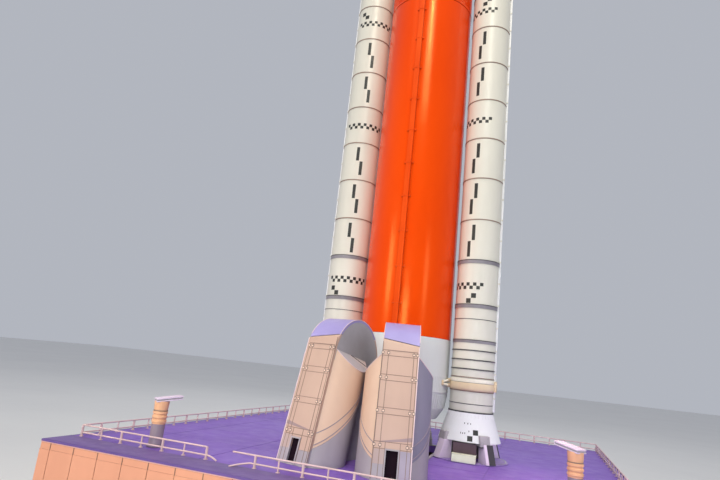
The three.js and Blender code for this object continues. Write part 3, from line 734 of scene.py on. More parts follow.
fairing = [[0, CREW_FAIRING["low"]]]
for i in range(25):
    share = i / 24
    span = CREW_FAIRING["base"] - CREW_FAIRING["top"]
    height = CREW_FAIRING["low"] + (CREW_FAIRING["high"] - SEAM / M - CREW_FAIRING["low"]) * share
    fairing.append([CREW_FAIRING["base"] - span * share ** CREW_FAIRING["power"], height])
fairing.append([0, fairing[-1][1]])
turned("crew_fairing_skin", fairing, CORE_SIDES, stage_white, "white", ("crew_fairing",))

TOWER = (
    # radius, height above the tower's foot
    (0, 0), (0.57, 0), (0.6, 0.03), (0.46, 0.9), (0.46, 2.2), (0.48, 2.22), (0.48, 2.34), (0.46, 2.36),
    (0.46, 5.2), (0.56, 5.5), (0.56, 6.0), (0.43, 6.2), (0.43, 7.1), (0.45, 7.12), (0.45, 7.24), (0.43, 7.26),
    (0.43, 8.2), (0.4, 8.4), (0.22, 9.7), (0.13, 10.2), (0.09, 10.45), (0, 10.55),
)
tower = [[radius, CREW_FAIRING["high"] + height] for radius, height in TOWER]
turned("abort_tower_skin", tower, 48, stage_white, "white", ("abort_tower",))
motors = round_values(4, 0.58, 91.15, (0.42, 0.24, 0.24), tilt=58.0)
grow("abort_tower_motor_nozzles", bolts_round, motors, nozzle_metal, "metal")
small_motors = round_values(8, 0.43, 94.1, (0.1, 0.13, 0.13))
grow("abort_tower_steering_nozzles", bolts_round, small_motors, line_dark)
print("top of the tower at", round(rocket(0, 0, tower[-1][1]).z, 3), "m")

# %% [markdown]
# ## Ribs and rims of the core
#
# Between the tanks the skin carries the boosters' thrust, so it is stiffened by upright ribs all round, which
# show as fine shading. They are one rib, copied round by the first tree.

# %% Ribbed skins
RIBBED = (
    # name, copies, radius, foot, height, depth, width, material, slot
    ("intertank_ribs", 120, 4.13, 42.05, 6.2, 0.1, 0.1, tank_orange, "orange"),
    ("forward_skirt_ribs", 96, 4.14, 60.2, 2.8, 0.09, 0.1, tank_orange, "orange"),
    ("engine_section_ribs", 120, 4.19, 3.75, 1.2, 0.05, 0.06, stage_white, "white"),
    ("upper_stage_ribs", 72, 2.55, 74.75, 1.25, 0.06, 0.06, stage_white, "white"),
)
for name, copies, radius, foot, height, depth, width, material, slot in RIBBED:
    values = round_values(copies, radius, foot + height / 2, (depth, width, height))
    grow(name, ribs_round, values, material, slot)
values = round_values(90, 4.08, 2.86, (0.05, 0.06, 1.2), tilt=9.0)
grow("boattail_ribs", ribs_round, values, stage_white, "white")

RIMS = (
    # name, radius, middle, height, depth, material, slot
    ("intertank_lower_rim", 4.17, 41.95, 0.22, 0.05, tank_orange, "orange"),
    ("intertank_middle_band", 4.16, 45.15, 0.16, 0.05, tank_orange, "orange"),
    ("intertank_upper_rim", 4.17, 48.35, 0.22, 0.05, tank_orange, "orange"),
    ("forward_skirt_rim", 4.17, 63.05, 0.2, 0.04, tank_orange, "orange"),
    ("engine_section_rim", 4.2, 3.68, 0.12, 0.04, stage_white, "white"),
    ("stage_adapter_foot", 4.19, 63.32, 0.14, 0.03, ring_grey, "grey"),
    ("upper_stage_band", 2.55, 71.72, 0.16, 0.05, ring_grey, "grey"),
    ("spacecraft_adapter_band", 2.56, 76.28, 0.12, 0.05, ring_grey, "grey"),
    ("service_module_band", 2.75, 77.8, 0.12, 0.04, ring_grey, "grey"),
    ("crew_fairing_band", 2.7, 81.38, 0.12, 0.06, ring_grey, "grey"),
)
for name, radius, middle, height, depth, material, slot in RIMS:
    rings(name, material, slot, radius, middle, height, depth, sides=CORE_SIDES)
print(len(RIBBED) + 1, "ribbed skins,", len(RIMS), "rims")

# %% [markdown]
# The service module's fairing is three curved panels, and the upper stage and the stage adapter have upright
# seams. All get raised seam strips at equal angles.

# %% Upright seams
UPRIGHT_SEAMS = (
    # name, copies, radius, foot, height
    ("service_module_seams", 3, 2.755, 78.0, 3.2),
    ("upper_stage_seams", 4, 2.555, 71.9, 2.7),
)
for name, copies, radius, foot, height in UPRIGHT_SEAMS:
    values = round_values(copies, radius, foot + height / 2, (0.05, 0.09, height), start=30.0)
    grow(name, ribs_round, values, ring_grey, "grey")
adapter_lean = math.degrees(math.atan2(4.2 - 2.55, 71.6 - 63.2))
values = round_values(8, (4.2 + 2.55) / 2 + 0.01, 67.4, (0.05, 0.07, 8.2), start=22.5, tilt=-adapter_lean)
grow("stage_adapter_seams", ribs_round, values, stage_white, "white")
print("adapter leans", round(adapter_lean, 1), "degrees")

# %% [markdown]
# ## Engines
#
# Four bells hang under the boattail. A real bell is wrapped in upright cooling tubes held by a few hoops; here
# the profile carries the hoops.

# %% Engine bells


def bell(throat, exit_radius, low, high, wall, hoops):
    """The closed profile of a bell, open below: up the inside, over the lip and up the outside."""
    steps = 20

    def wide(share):
        return exit_radius - (exit_radius - throat) * share**1.6

    inside, outside = [], []
    for i in range(steps + 1):
        share = i / steps
        height = low + (high - low) * share
        if share <= 0.85:
            inside.append([wide(share) - wall, height])
        outside.append([wide(share), height])
        if i in hoops:
            outside.append([wide(share) + 0.035, height + 0.02])
            outside.append([wide(share) + 0.035, height + 0.08])
            outside.append([wide(share + 0.03), height + 0.1])
    roof = inside[-1][1]
    return [[0, roof]] + inside[::-1] + outside + [[0, high]]


ENGINES = (
    # name, x, y
    ("front_left", -1.75, -1.75),
    ("front_right", 1.75, -1.75),
    ("rear_left", -1.75, 1.75),
    ("rear_right", 1.75, 1.75),
)
for name, x, y in ENGINES:
    profile = bell(throat=0.5, exit_radius=1.15, low=-1.2, high=1.29, wall=0.06, hoops=(0, 4, 8, 12, 16))
    node = "engine_nozzle_" + name
    turned(node + "_bell", profile, 72, nozzle_metal, "metal", (node,), x, y)
print(len(ENGINES), "engine bells")

# %% [markdown]
# ## Lines along the core
#
# A cable tunnel runs up the front of the core. It is a shallow box with soft edges, and clips hold it every
# three metres or so. Two feedlines run down the back of the fuel tank and turn in at both ends.

# %% Cable tunnel
TUNNEL = {"half": 0.235, "depth": 0.22, "low": 5.0, "high": 60.8}
CLIPS = {"first": 10.9, "step": 3.26, "count": 16, "size": (0.86, 0.12, 0.16), "strap": (0.5, 0.06, 0.12)}
face = -CORE_RADIUS - SEAM / M
low_corner = (-TUNNEL["half"], face - TUNNEL["depth"], TUNNEL["low"])
cover = block(low_corner, (TUNNEL["half"], face, TUNNEL["high"]))
piece("core_cable_tunnel_cover", *cover, tunnel_orange, "orange", ("core_cable_tunnel",), bevel=0.05)
clip_start = rocket(0, face - 0.03, CLIPS["first"])
values = line_values(CLIPS["count"], clip_start, (0, 0, CLIPS["step"]), CLIPS["size"])
grow("core_cable_tunnel_clips", copies_along, values, tunnel_orange, "orange")
strap_start = rocket(0, face - TUNNEL["depth"], CLIPS["first"])
values = line_values(CLIPS["count"], strap_start, (0, 0, CLIPS["step"]), CLIPS["strap"])
grow("core_cable_tunnel_straps", copies_along, values, tunnel_orange, "orange")
print(CLIPS["count"], "clips")

# %% Feedlines
FEED = {"angle": 38, "radius": 0.22, "line": 4.54, "inside": 3.9, "low": 6.6, "high": 43.0, "bend": 0.7}


def arc(first, middle, last, steps=8):
    """Places on a curve that leaves `first` and reaches `last`, pulled towards `middle`."""
    shares = [i / steps for i in range(steps + 1)]
    return [first * (1 - s) ** 2 + middle * 2 * s * (1 - s) + last * s**2 for s in shares]


def around(x, turn, level):
    """Places given by distance from an upright axis at x, distance to the side and height."""
    angle = math.radians(turn)

    def place(out, sideways, height):
        on_x = out * math.cos(angle) - sideways * math.sin(angle)
        return level(x + on_x, out * math.sin(angle) + sideways * math.cos(angle), height)

    return place


COLLAR = {"feet": (8.6, 16.0, 23.4, 30.8, 38.2, 41.0), "height": 0.26, "share": 1.35}
BRACKET = {"first": 12.0, "step": 4, "count": 7, "inside": 4.1, "height": 0.14, "half": 0.13}
for side_name, side in SIDES:
    place = around(0, 90 - side * FEED["angle"], rocket)
    low, high, bend = FEED["low"], FEED["high"], FEED["bend"]
    line, inside = FEED["line"], FEED["inside"]
    path = arc(place(inside, 0, low), place(line, 0, low + bend / 2), place(line, 0, low + 1.6 * bend))
    path += arc(place(line, 0, high - 1.6 * bend), place(line, 0, high - bend / 2), place(inside, 0, high))
    shapes = [tube(path, FEED["radius"] * M, 20)]
    for foot in COLLAR["feet"]:
        collar = [place(line, 0, foot), place(line, 0, foot + COLLAR["height"])]
        shapes.append(tube(collar, COLLAR["share"] * FEED["radius"] * M, 20))
    piece(side_name + "_feedline_pipe", *merged(*shapes), tank_orange, "orange", (side_name + "_feedline",))
    shapes = []
    half = BRACKET["half"]
    for k in range(BRACKET["count"]):
        foot = BRACKET["first"] + BRACKET["step"] * k
        top = foot + BRACKET["height"]
        shapes.append(block((BRACKET["inside"], -half, foot), (line + 0.12, half, top), place))
    piece(side_name + "_feedline_brackets", *merged(*shapes), tank_orange, "orange")
print("two feedlines")

# %% [markdown]
# ## Boosters
#
# Each booster is five casings, a skirt below and a nose above. The joints are thin raised bands every four
# metres, with thicker grey ones low down, where the booster is braced. The black squares and ticks between
# them are for cameras that follow the flight, and belong to every rocket of this type.

# %% Booster casings and joint bands
CASINGS = (("aft", 2.3, 11.2), ("aft_center", 11.2, 19.2), ("center", 19.2, 27.2))
CASINGS += (("forward_center", 27.2, 35.2), ("forward", 35.2, 43.2))
JOINTS = {"first": 19.2, "step": 4.0, "count": 7, "height": 0.09, "depth": 0.04}
THICK_JOINTS = (11.2, 15.2)
BANDS = (
    # name, middle, height, depth, material, slot
    ("skirt_top_band", 2.32, 0.11, 0.08, line_dark, None),
    ("lower_line", 2.98, 0.05, 0.025, line_dark, None),
    ("stiffener_low", 5.17, 0.07, 0.05, line_brown, None),
    ("stiffener_a", 5.87, 0.09, 0.07, line_dark, None),
    ("stiffener_b", 6.65, 0.09, 0.07, line_dark, None),
    ("stiffener_c", 7.45, 0.09, 0.07, line_dark, None),
    ("flange", 8.2, 0.22, 0.05, ring_grey, "grey"),
    ("flange_edge", 8.34, 0.06, 0.065, line_dark, None),
    ("upper_line", 10.15, 0.05, 0.025, line_dark, None),
)
for side_name, side in SIDES:
    x = side * BOOSTER_X
    for part, low, high in CASINGS:
        node = f"{side_name}_booster_{part}_segment"
        profile = drum(low, high - SEAM / M, BOOSTER_RADIUS, edge=0.015)
        turned(node + "_case", profile, BOOSTER_SIDES, booster_white, "white", (node,), x)
    prefix = side_name + "_booster_"
    rings(prefix + "joint_bands", line_brown, None, BOOSTER_RADIUS, x=x, **JOINTS)
    for k, joint in enumerate(THICK_JOINTS, 1):
        rings(f"{prefix}thick_band_{k}", ring_grey, "grey", BOOSTER_RADIUS, joint + 0.08, 0.3, 0.055, x=x)
        rings(f"{prefix}thick_band_edge_{k}", line_dark, None, BOOSTER_RADIUS, joint + 0.25, 0.06, 0.075, x=x)
    for name, middle, height, depth, material, slot in BANDS:
        rings(prefix + name, material, slot, BOOSTER_RADIUS, middle, height, depth, x=x)
print(2 * len(CASINGS), "casings")

# %% [markdown]
# The tracking marks are laid on as thin tiles. The checkered bands come from the tree. Ticks and larger
# squares are few and each has its own place, so a short table serves better: an angle from the front towards
# +X, a height, a width and a height of the mark.

# %% Tracking marks
MARK_CELL = 0.306
MARK_THICKNESS = 0.006
TICK = {"height": 1.45, "high": 2.05, "low": 0.53}
SQUARE = {"width": 0.43, "height": 0.42}


def front_angle(degrees):
    """An angle counted from the front towards +X, as the angle from +X that turned places use."""
    return math.radians(degrees - 90)


def tile(x, middle_angle, low, width, height, radius_at, steps=4):
    """Points and faces of a thin tile that lies on a drum or cone; its width is along the skin."""
    points, faces = [], []
    columns = steps + 1
    for lift in (-0.01, MARK_THICKNESS):
        for level in (low, low + height):
            radius = radius_at(level) + lift
            for c in range(columns):
                share = c / steps - 0.5
                angle = front_angle(middle_angle) + share * width / radius_at(level)
                points.append(rocket(x + radius * math.cos(angle), radius * math.sin(angle), level))
    layer = 2 * columns
    for a in range(steps):
        under = [a, a + 1, a + columns + 1, a + columns]
        faces += [under, [layer + i for i in reversed(under)]]
    edge = list(range(columns)) + list(range(layer - 1, columns - 1, -1))
    for a, b in zip(edge, edge[1:] + edge[:1]):
        faces.append([a, b, layer + b, layer + a])
    return points, faces


def casing_radius(_height):
    return BOOSTER_RADIUS


CHECKERED = {
    # side: first angle, columns
    "left": (-39.0, 13),
    "right": (-100.2, 13),
}
TICK_ANGLES = {"left": (10.5, 22.5), "right": (-12.0, -24.0)}
PAIR_ANGLES = {"left": (-24.0, -10.5), "right": (-2.6, -16.3)}
CHECKER_HEIGHTS = (13.075, 29.075, 41.075)
TICK_JOINTS = (15.2, 19.2, 23.2, 31.2, 35.2)
PAIRS = (
    # middle heights of the outer and the inner square
    (12.2, 11.74),
    (42.35, 41.9),
)
for side_name, side in SIDES:
    x = side * BOOSTER_X
    first, columns = CHECKERED[side_name]
    for k, middle in enumerate(CHECKER_HEIGHTS, 1):
        values = {
            "Columns": columns,
            "Rows": 2,
            "Cell": MARK_CELL * M,
            "Radius": BOOSTER_RADIUS * M,
            "Thickness": MARK_THICKNESS * M,
            "Start Angle": front_angle(first),
            "Start": rocket(x, 0, middle),
        }
        grow(f"{side_name}_booster_checker_{k}", checker, values, mark_black)
    shapes = []
    for joint in TICK_JOINTS:
        for angle, low in zip(TICK_ANGLES[side_name], (joint + TICK["high"], joint + TICK["low"])):
            shapes.append(tile(x, angle, low, MARK_CELL, TICK["height"], casing_radius))
    for heights in PAIRS:
        for angle, middle in zip(PAIR_ANGLES[side_name], heights):
            low = middle - SQUARE["height"] / 2
            shapes.append(tile(x, angle, low, SQUARE["width"], SQUARE["height"], casing_radius))
    piece(side_name + "_booster_ticks", *merged(*shapes), mark_black)
print("marks on both boosters")

# %% [markdown]
# Under each booster is a hollow skirt, a cone that spreads the thrust and carries the four shoes the rocket
# stands on. The wall is a closed ring, and a dark fill of painted shade stands inside it, because the shaded
# hollow is what shows between the shoes.

# %% Skirts and shoes
SKIRT = {"foot": 2.645, "head": 1.91, "height": 2.3}
FOOT_TURNS = (-137, -56, 56, 137)
skirt_lean = math.degrees(math.atan2(SKIRT["foot"] - SKIRT["head"], SKIRT["height"]))


def skirt_radius(height):
    return SKIRT["foot"] + (SKIRT["head"] - SKIRT["foot"]) * height / SKIRT["height"]


def booster_turn(side, turn):
    """A turn on the right booster, or its mirror image on the left one."""
    return turn if side > 0 else 180 - turn


def prism(outline, low, high, place):
    """Points and faces of a flat outline of (a, b), drawn out between two distances across it."""
    count = len(outline)
    points = [place(a, distance, b) for distance in (low, high) for a, b in outline]
    faces = [list(range(count)), list(range(2 * count - 1, count - 1, -1))]
    for i in range(count):
        j = (i + 1) % count
        faces.append([i, j, count + j, count + i])
    return points, faces


for side_name, side in SIDES:
    x = side * BOOSTER_X
    prefix = side_name + "_booster_"
    wall = [[2.5, 0.02], [2.55, 0], [2.63, 0], [2.645, 0.02], [skirt_radius(0.06), 0.06]]
    wall += [[skirt_radius(2.2), 2.2], [1.935, 2.23], [1.935, 2.27], [1.9, 2.294], [1.78, 2.294]]
    turned(prefix + "skirt_wall", wall, BOOSTER_SIDES, skirt_and_highlight_white, "white", (prefix + "aft_skirt",), x)
    # Painted shade: a dark fill inside the skirt stands for its shaded hollow.
    hollow_shade = [[0, 1.3], [2.0, 1.3], [2.44, 0.05], [2.48, 0.05], [1.98, 1.6], [0, 1.6]]
    turned(prefix + "skirt_hollow_shade", hollow_shade, 64, recess_shade, None, (), x)
    values = round_values(40, skirt_radius(2.02), 2.02, (0.03, 0.035, 0.26), x, tilt=-skirt_lean)
    grow(prefix + "skirt_stiffeners", ribs_round, values, skirt_and_highlight_white, "white")
    shoes, soles, bolts = [], [], []
    for turn in FOOT_TURNS:
        place = around(x, booster_turn(side, turn), rocket)
        outline = [(2.0, -0.2), (2.86, -0.2), (2.84, 0.02), (2.71, 0.62), (2.2, 0.62), (2.0, 0.4)]
        shoes.append(prism(outline, -0.44, 0.44, place))
        soles.append(prism([(2.0, -0.27), (2.87, -0.27), (2.87, -0.2), (2.0, -0.2)], -0.46, 0.46, place))
        for sideways in (-0.24, 0.24):
            for height in (0.08, 0.46):
                out = 2.84 - (height - 0.02) * 0.217
                tip = [place(out - 0.05, sideways, height), place(out + 0.03, sideways, height + 0.01)]
                bolts.append(tube(tip, 0.045 * M, 10))
    piece(prefix + "shoes", *merged(*shoes), shoe_grey, "grey", bevel=0.05)
    piece(prefix + "shoe_soles", *merged(*soles), line_dark)
    piece(prefix + "shoe_bolts", *merged(*bolts), steel, "metal")
print("skirts lean", round(skirt_lean, 1), "degrees")

# %% [markdown]
# A few marks sit on the skirt's front: two squares of the same black, and small fasteners of an access panel.
# They are mirrored on the two boosters.

# %% Marks on the skirts
SKIRT_SQUARES = (
    # angle, low, width, height
    (18.2, 0.6, 0.42, 0.4),
    (7.6, 0.11, 0.42, 0.4),
)
SKIRT_DOTS = ((-5, 1.38), (2, 1.38), (8, 1.38), (-10.6, 0.62), (-6.5, 0.6), (-2.5, 0.62), (5.3, 0.8))
for side_name, side in SIDES:
    x = side * BOOSTER_X
    shapes = []
    for angle, low, width, height in SKIRT_SQUARES:
        shapes.append(tile(x, side * angle, low, width, height, skirt_radius))
    piece(side_name + "_booster_skirt_squares", *merged(*shapes), mark_black)
    shapes = [tile(x, side * angle, low, 0.06, 0.12, skirt_radius, 2) for angle, low in SKIRT_DOTS]
    piece(side_name + "_booster_skirt_fasteners", *merged(*shapes), line_dark)
print(len(SKIRT_DOTS), "fasteners a side")

# %% [markdown]
# A booster's nozzle hangs inside the skirt and shows only its lip. The cable tunnel on the outer side and the
# ring that ties the booster to the core are next, with four struts to the core's flank.

# %% Nozzles, cable tunnels and attach rings
RING = {"low": 4.08, "high": 5.06, "radius": 2.02}
SIDE_TUNNEL = {"inner": 1.84, "outer": 2.035, "half": 0.18, "low": 2.45, "high": 46.6}
SIDE_CLIPS = {"first": 3.6, "step": 2.0, "count": 22, "size": (0.16, 0.46, 0.12)}
STRUTS = (
    # y at the ring, height there, y at the core, height there
    (-0.5, 4.78, -1.5, 4.54),
    (-0.72, 4.3, -1.5, 4.42),
    (0.5, 4.78, 1.5, 4.54),
    (0.72, 4.3, 1.5, 4.42),
)
for side_name, side in SIDES:
    x = side * BOOSTER_X
    prefix = side_name + "_booster_"
    profile = bell(throat=1.5, exit_radius=1.85, low=-1.25, high=-SEAM / M, wall=0.08, hoops=(0, 5, 10, 15))
    turned(prefix + "nozzle_bell", profile, BOOSTER_SIDES, nozzle_metal, "metal", (prefix + "nozzle",), x)
    low_x, high_x = sorted((x + side * SIDE_TUNNEL["inner"], x + side * SIDE_TUNNEL["outer"]))
    half = SIDE_TUNNEL["half"]
    cover = block((low_x, -half, SIDE_TUNNEL["low"]), (high_x, half, SIDE_TUNNEL["high"]))
    # The cover takes the whiter skirt paint: a painted highlight along the booster's outer side.
    piece(prefix + "tunnel_cover", *cover, skirt_and_highlight_white, "white", (prefix + "cable_tunnel",), bevel=0.04)
    start = rocket(x + side * 1.95, 0, SIDE_CLIPS["first"])
    values = line_values(SIDE_CLIPS["count"], start, (0, 0, SIDE_CLIPS["step"]), SIDE_CLIPS["size"])
    grow(prefix + "tunnel_clips", copies_along, values, booster_white, "white")
    low, high, radius = RING["low"], RING["high"], RING["radius"]
    profile = [[1.85, low], [1.9, low], [1.955, low + 0.06], [1.985, low + 0.16], [1.99, low + 0.3]]
    profile += [[1.975, low + 0.5], [1.955, low + 0.62], [1.92, low + 0.64], [1.85, low + 0.64]]
    turned(prefix + "tie_ring", profile, BOOSTER_SIDES, fitting_cream, "cream", (prefix + "attach_ring",), x)
    # The lip takes a paler cream than the bulge below: partly its own paint, partly painted light, as the
    # ring's top catches the light from above.
    profile = [[1.85, low + 0.67], [1.93, low + 0.67], [1.95, low + 0.69], [1.94, high - 0.05]]
    profile += [[1.92, high], [1.85, high]]
    turned(prefix + "tie_ring_lip", profile, BOOSTER_SIDES, fitting_pale, "cream", (), x)
    # Painted shadow: a dark band just under the ring, where its underside turns away from the light.
    rings(prefix + "tie_ring_shadow_band", line_brown, None, BOOSTER_RADIUS, low - 0.045, 0.08, 0.06, x=x)
    values = round_values(32, 1.94, 4.9, (0.04, 0.07, 0.07), x)
    grow(prefix + "tie_ring_bolts", bolts_round, values, fitting_pale, "cream")
    low_x, high_x = sorted((x + side * 1.9, x + side * 2.12))
    bridge = block((low_x, -0.34, low + 0.04), (high_x, 0.34, high - 0.04))
    piece(prefix + "tie_ring_bridge", *bridge, fitting_cream, "cream", bevel=0.05)
    shapes, ends = [], []
    for ring_y, ring_z, core_y, core_z in STRUTS:
        ring_x = x - side * math.sqrt(radius**2 - ring_y**2) * 0.97
        core_x = side * (math.sqrt(CORE_RADIUS**2 - core_y**2) - 0.1)
        first, last = rocket(ring_x, ring_y * 0.97, ring_z), rocket(core_x, core_y, core_z)
        shapes.append(tube([first, last], 0.1 * M, 16))
        for place, toward in ((first, last), (last, first)):
            along = (toward - place).normalized()
            ends.append(tube([place + along * 0.05 * M, place + along * 0.26 * M], 0.16 * M, 16))
    piece(prefix + "struts", *merged(*shapes), fitting_pale, "cream")
    piece(prefix + "strut_ends", *merged(*ends), fitting_cream, "cream")
print("tie ring from", RING["low"], "to", RING["high"], "m")

# %% [markdown]
# The nose is a short straight drum, a cone and a rounded cap. Four small motors on the cone push the spent
# booster away from the core. A block with a pin joins each nose to the core.

# %% Noses and forward fittings
NOSE = {"low": 43.2, "cone": 47.0, "cap": 50.2, "cap_radius": 0.87, "tip": 52.1}
nose = [[0, NOSE["low"]], [BOOSTER_RADIUS, NOSE["low"]], [BOOSTER_RADIUS, NOSE["cone"] - 0.04]]
nose += [[BOOSTER_RADIUS - 0.02, NOSE["cone"] + 0.02], [NOSE["cap_radius"] + 0.01, NOSE["cap"] - 0.03]]
for i in range(17):
    angle = math.pi / 2 * i / 16
    rise = (NOSE["tip"] - NOSE["cap"]) * math.sin(angle)
    nose.append([NOSE["cap_radius"] * math.cos(angle) if i < 16 else 0, NOSE["cap"] + rise])
cone_lean = math.degrees(math.atan2(BOOSTER_RADIUS - NOSE["cap_radius"], NOSE["cap"] - NOSE["cone"]))
for side_name, side in SIDES:
    x = side * BOOSTER_X
    prefix = side_name + "_booster_"
    turned(prefix + "nose_skin", nose, BOOSTER_SIDES, booster_white, "white", (prefix + "nose",), x)
    rings(prefix + "nose_band", line_brown, None, BOOSTER_RADIUS, NOSE["cone"] - 0.05, 0.09, 0.035, x=x)
    rings(prefix + "nose_cap_band", ring_grey, "grey", NOSE["cap_radius"], NOSE["cap"], 0.08, 0.03, x=x)
    values = round_values(4, 1.62, 47.7, (0.5, 0.3, 0.3), x, start=27, arc=144, tilt=-52)
    grow(prefix + "separation_motors", bolts_round, values, booster_white, "white")
    low_x, high_x = sorted((side * 4.12, side * 4.56))
    fitting = block((low_x, -0.34, 45.62), (high_x, 0.34, 46.48))
    node = side_name + "_booster_forward_fitting"
    piece(node + "_block", *fitting, stage_white, "white", (node,), bevel=0.05)
    pin = [rocket(side * 4.355, y, 46.05) for y in (-0.42, 0.42)]
    piece(node + "_pin", *tube(pin, 0.1 * M, 20), steel, "metal")
print("nose cone leans", round(cone_lean, 1), "degrees")

# %% [markdown]
# ## Supports
#
# Each booster stands on four posts that splay outwards to a bed round the exhaust opening, with a solid block
# between the posts of each pair and, behind it, a dark screen of painted shade for the shadowed space under the
# skirt. The two outer posts are dark on half of their face.
# The bed is cut straight beside the core's opening, so it is made by a Boolean: a shape minus another is the
# honest way to a flat cut.

# %% A cutter


def carve(shape, operation, *others):
    """Joins shapes to a shape, cuts them off or keeps what they share. Each is (points, faces)."""
    made = []
    for points, faces in (shape, *others):
        mesh = bpy.data.meshes.new("blank")
        mesh.from_pydata([tuple(point) for point in points], [], faces)
        work = bmesh.new()
        work.from_mesh(mesh)
        bmesh.ops.remove_doubles(work, verts=work.verts, dist=1e-7)
        bmesh.ops.recalc_face_normals(work, faces=work.faces)
        work.to_mesh(mesh)
        work.free()
        blank = bpy.data.objects.new("blank", mesh)
        bpy.context.scene.collection.objects.link(blank)
        made.append(blank)
    for tool in made[1:]:
        modifier = made[0].modifiers.new("cut", "BOOLEAN")
        modifier.operation = operation
        modifier.solver = "EXACT"
        modifier.object = tool
    shaped = made[0].evaluated_get(bpy.context.evaluated_depsgraph_get())
    result = bpy.data.meshes.new_from_object(shaped)
    points = [vertex.co.copy() for vertex in result.vertices]
    faces = [list(polygon.vertices) for polygon in result.polygons]
    made[0].modifiers.clear()
    for blank in made:
        bpy.data.objects.remove(blank)
    bpy.data.meshes.remove(result)
    return points, faces


print("cutter ready")

# %% Supports
POST = {"inner": 2.15, "foot": 3.4, "head": 2.85, "half": 0.42, "height": 1.544}
BED = {"inner": 2.02, "outer": 3.3, "cut": 3.6}
POST_TURNS = (-134, -51, 51, 134)
BLOCK = {"distance": 3.05, "half": 0.95, "depth": 0.32, "height": 0.7}
for side_name, side in SIDES:
    x = side * BOOSTER_X
    prefix = side_name + "_booster_support_"
    inner, outer = BED["inner"], BED["outer"]
    profile = [[inner, 0.006], [outer, 0.006], [outer, 0.06], [outer - 0.02, 0.08]]
    profile += [[inner + 0.02, 0.08], [inner, 0.06]]
    bed = spin(profile, BOOSTER_SIDES, x, 0, on_deck)
    cut_low, cut_high = sorted((side * BED["cut"], side * (BED["cut"] - 8)))
    bed = carve(bed, "DIFFERENCE", block((cut_low, -8, -1), (cut_high, 8, 1), on_deck))
    piece(prefix + "bed", *bed, bed_lilac, "rail", (side_name + "_booster_support",))
    start = -88 if side > 0 else 92
    values = round_values(28, 3.12, 0, (0.06, 0.1, 0.1), start=start, arc=176)
    grow(prefix + "bed_bolts", bolts_round, dict(values, Centre=on_deck(x, 0, 0.1)), steel, "metal")
    posts, shields = [], []
    for turn in POST_TURNS:
        place = around(x, booster_turn(side, turn), on_deck)
        outline = [(POST["inner"], 0.07), (POST["foot"], 0.07), (POST["head"], POST["height"])]
        outline.append((POST["inner"], POST["height"]))
        posts.append(prism(outline, -POST["half"], POST["half"], place))
        if abs(turn) < 90:
            plate = [(3.3, 0.08), (3.425, 0.08), (2.875, 1.53), (2.75, 1.53)]
            way = math.copysign(side, side * turn)
            edges = sorted((0.15 * way, -0.43 * way))
            shields.append(prism(plate, edges[0], edges[1], place))
    piece(prefix + "posts", *merged(*posts), post_pale, "rail", bevel=0.04)
    piece(prefix + "post_shields", *merged(*shields), line_dark)
    blocks, lids, screens = [], [], []
    half, depth, top = BLOCK["half"], BLOCK["depth"], BLOCK["height"]
    wide, deep = half + 0.02, depth + 0.02
    for y in (-BLOCK["distance"], BLOCK["distance"]):
        blocks.append(block((x - half, y - depth, 0.07), (x + half, y + depth, top - 0.05), on_deck))
        lids.append(block((x - wide, y - deep, top - 0.05), (x + wide, y + deep, top), on_deck))
        # Painted shade: a dark screen behind each block stands for the shadowed space under the skirt.
        rear = y - math.copysign(0.2, y)
        screens.append(block((x - half, rear - 0.04, 0.1), (x + half, rear + 0.04, 1.5), on_deck))
    piece(prefix + "screens", *merged(*screens), recess_shade)
    piece(prefix + "blocks", *merged(*blocks), block_cream, "cream", bevel=0.05)
    piece(prefix + "block_lids", *merged(*lids), block_cream, "cream")
print("eight posts, four blocks")

# %% [markdown]
# ## The deck
#
# The deck is a hollow box with a plate on top. The plate has the core's exhaust opening and two round ones,
# and welded seams cross it every few metres. Cutting the seams as real grooves lets the light find them from
# any side.

# %% Deck plate
DECK = {"half_x": 18.9, "half_y": 20.4, "plate": 0.6, "height": 7.62}
OPENING = {"half_x": 3.5, "half_y": 4.3, "booster": 2.0}
MARGIN_EDGE = -17.98
SEAMS_X = (-15.4, -8.4, 8.4, 15.4)
SEAMS_Y = (-11.6, -6.2, 6.2, 11.6, 16.4)
GROOVE = {"half": 0.03, "depth": 0.03}

half_x, half_y = DECK["half_x"] - 0.04, DECK["half_y"] - 0.04
plate = block((-half_x, -half_y, -DECK["plate"]), (half_x, half_y, 0), on_deck)
half_x, half_y = OPENING["half_x"], OPENING["half_y"]
openings = [block((-half_x, -half_y, -2), (half_x, half_y, 1), on_deck)]
for side_name, side in SIDES:
    profile = [[0, -2], [OPENING["booster"], -2], [OPENING["booster"], 1], [0, 1]]
    openings.append(spin(profile, 96, side * BOOSTER_X, 0, on_deck))
plate = carve(plate, "DIFFERENCE", *openings)
half, depth = GROOVE["half"], GROOVE["depth"]
upright = [block((x - half, MARGIN_EDGE, -depth), (x + half, 21, 0.1), on_deck) for x in SEAMS_X]
level_seams = (MARGIN_EDGE, *SEAMS_Y)
level_cuts = [block((-19.5, y - half, -depth), (19.5, y + half, 0.1), on_deck) for y in level_seams]
plate = carve(plate, "DIFFERENCE", merged(*upright))
plate = carve(plate, "DIFFERENCE", merged(*level_cuts))
piece("deck_plate_skin", *plate, deck_violet, "deck", ("deck_plate",))

half_x, half_y = DECK["half_x"] - 0.06, DECK["half_y"] - 0.06
margin = block((-half_x, -half_y, -0.02), (half_x, MARGIN_EDGE - 0.04, 0.02), on_deck)
piece("deck_front_margin", *margin, margin_violet, "deck", bevel=0.02)
print("deck plate with", len(SEAMS_X) + len(SEAMS_Y), "seams")

# %% [markdown]
# The plate's edge is a violet strip with a thin pink lip under it and a tan band below, all mitred at the
# corners. A low curb frames the core's opening, so nothing can roll into it.

# %% Edge trim and curb


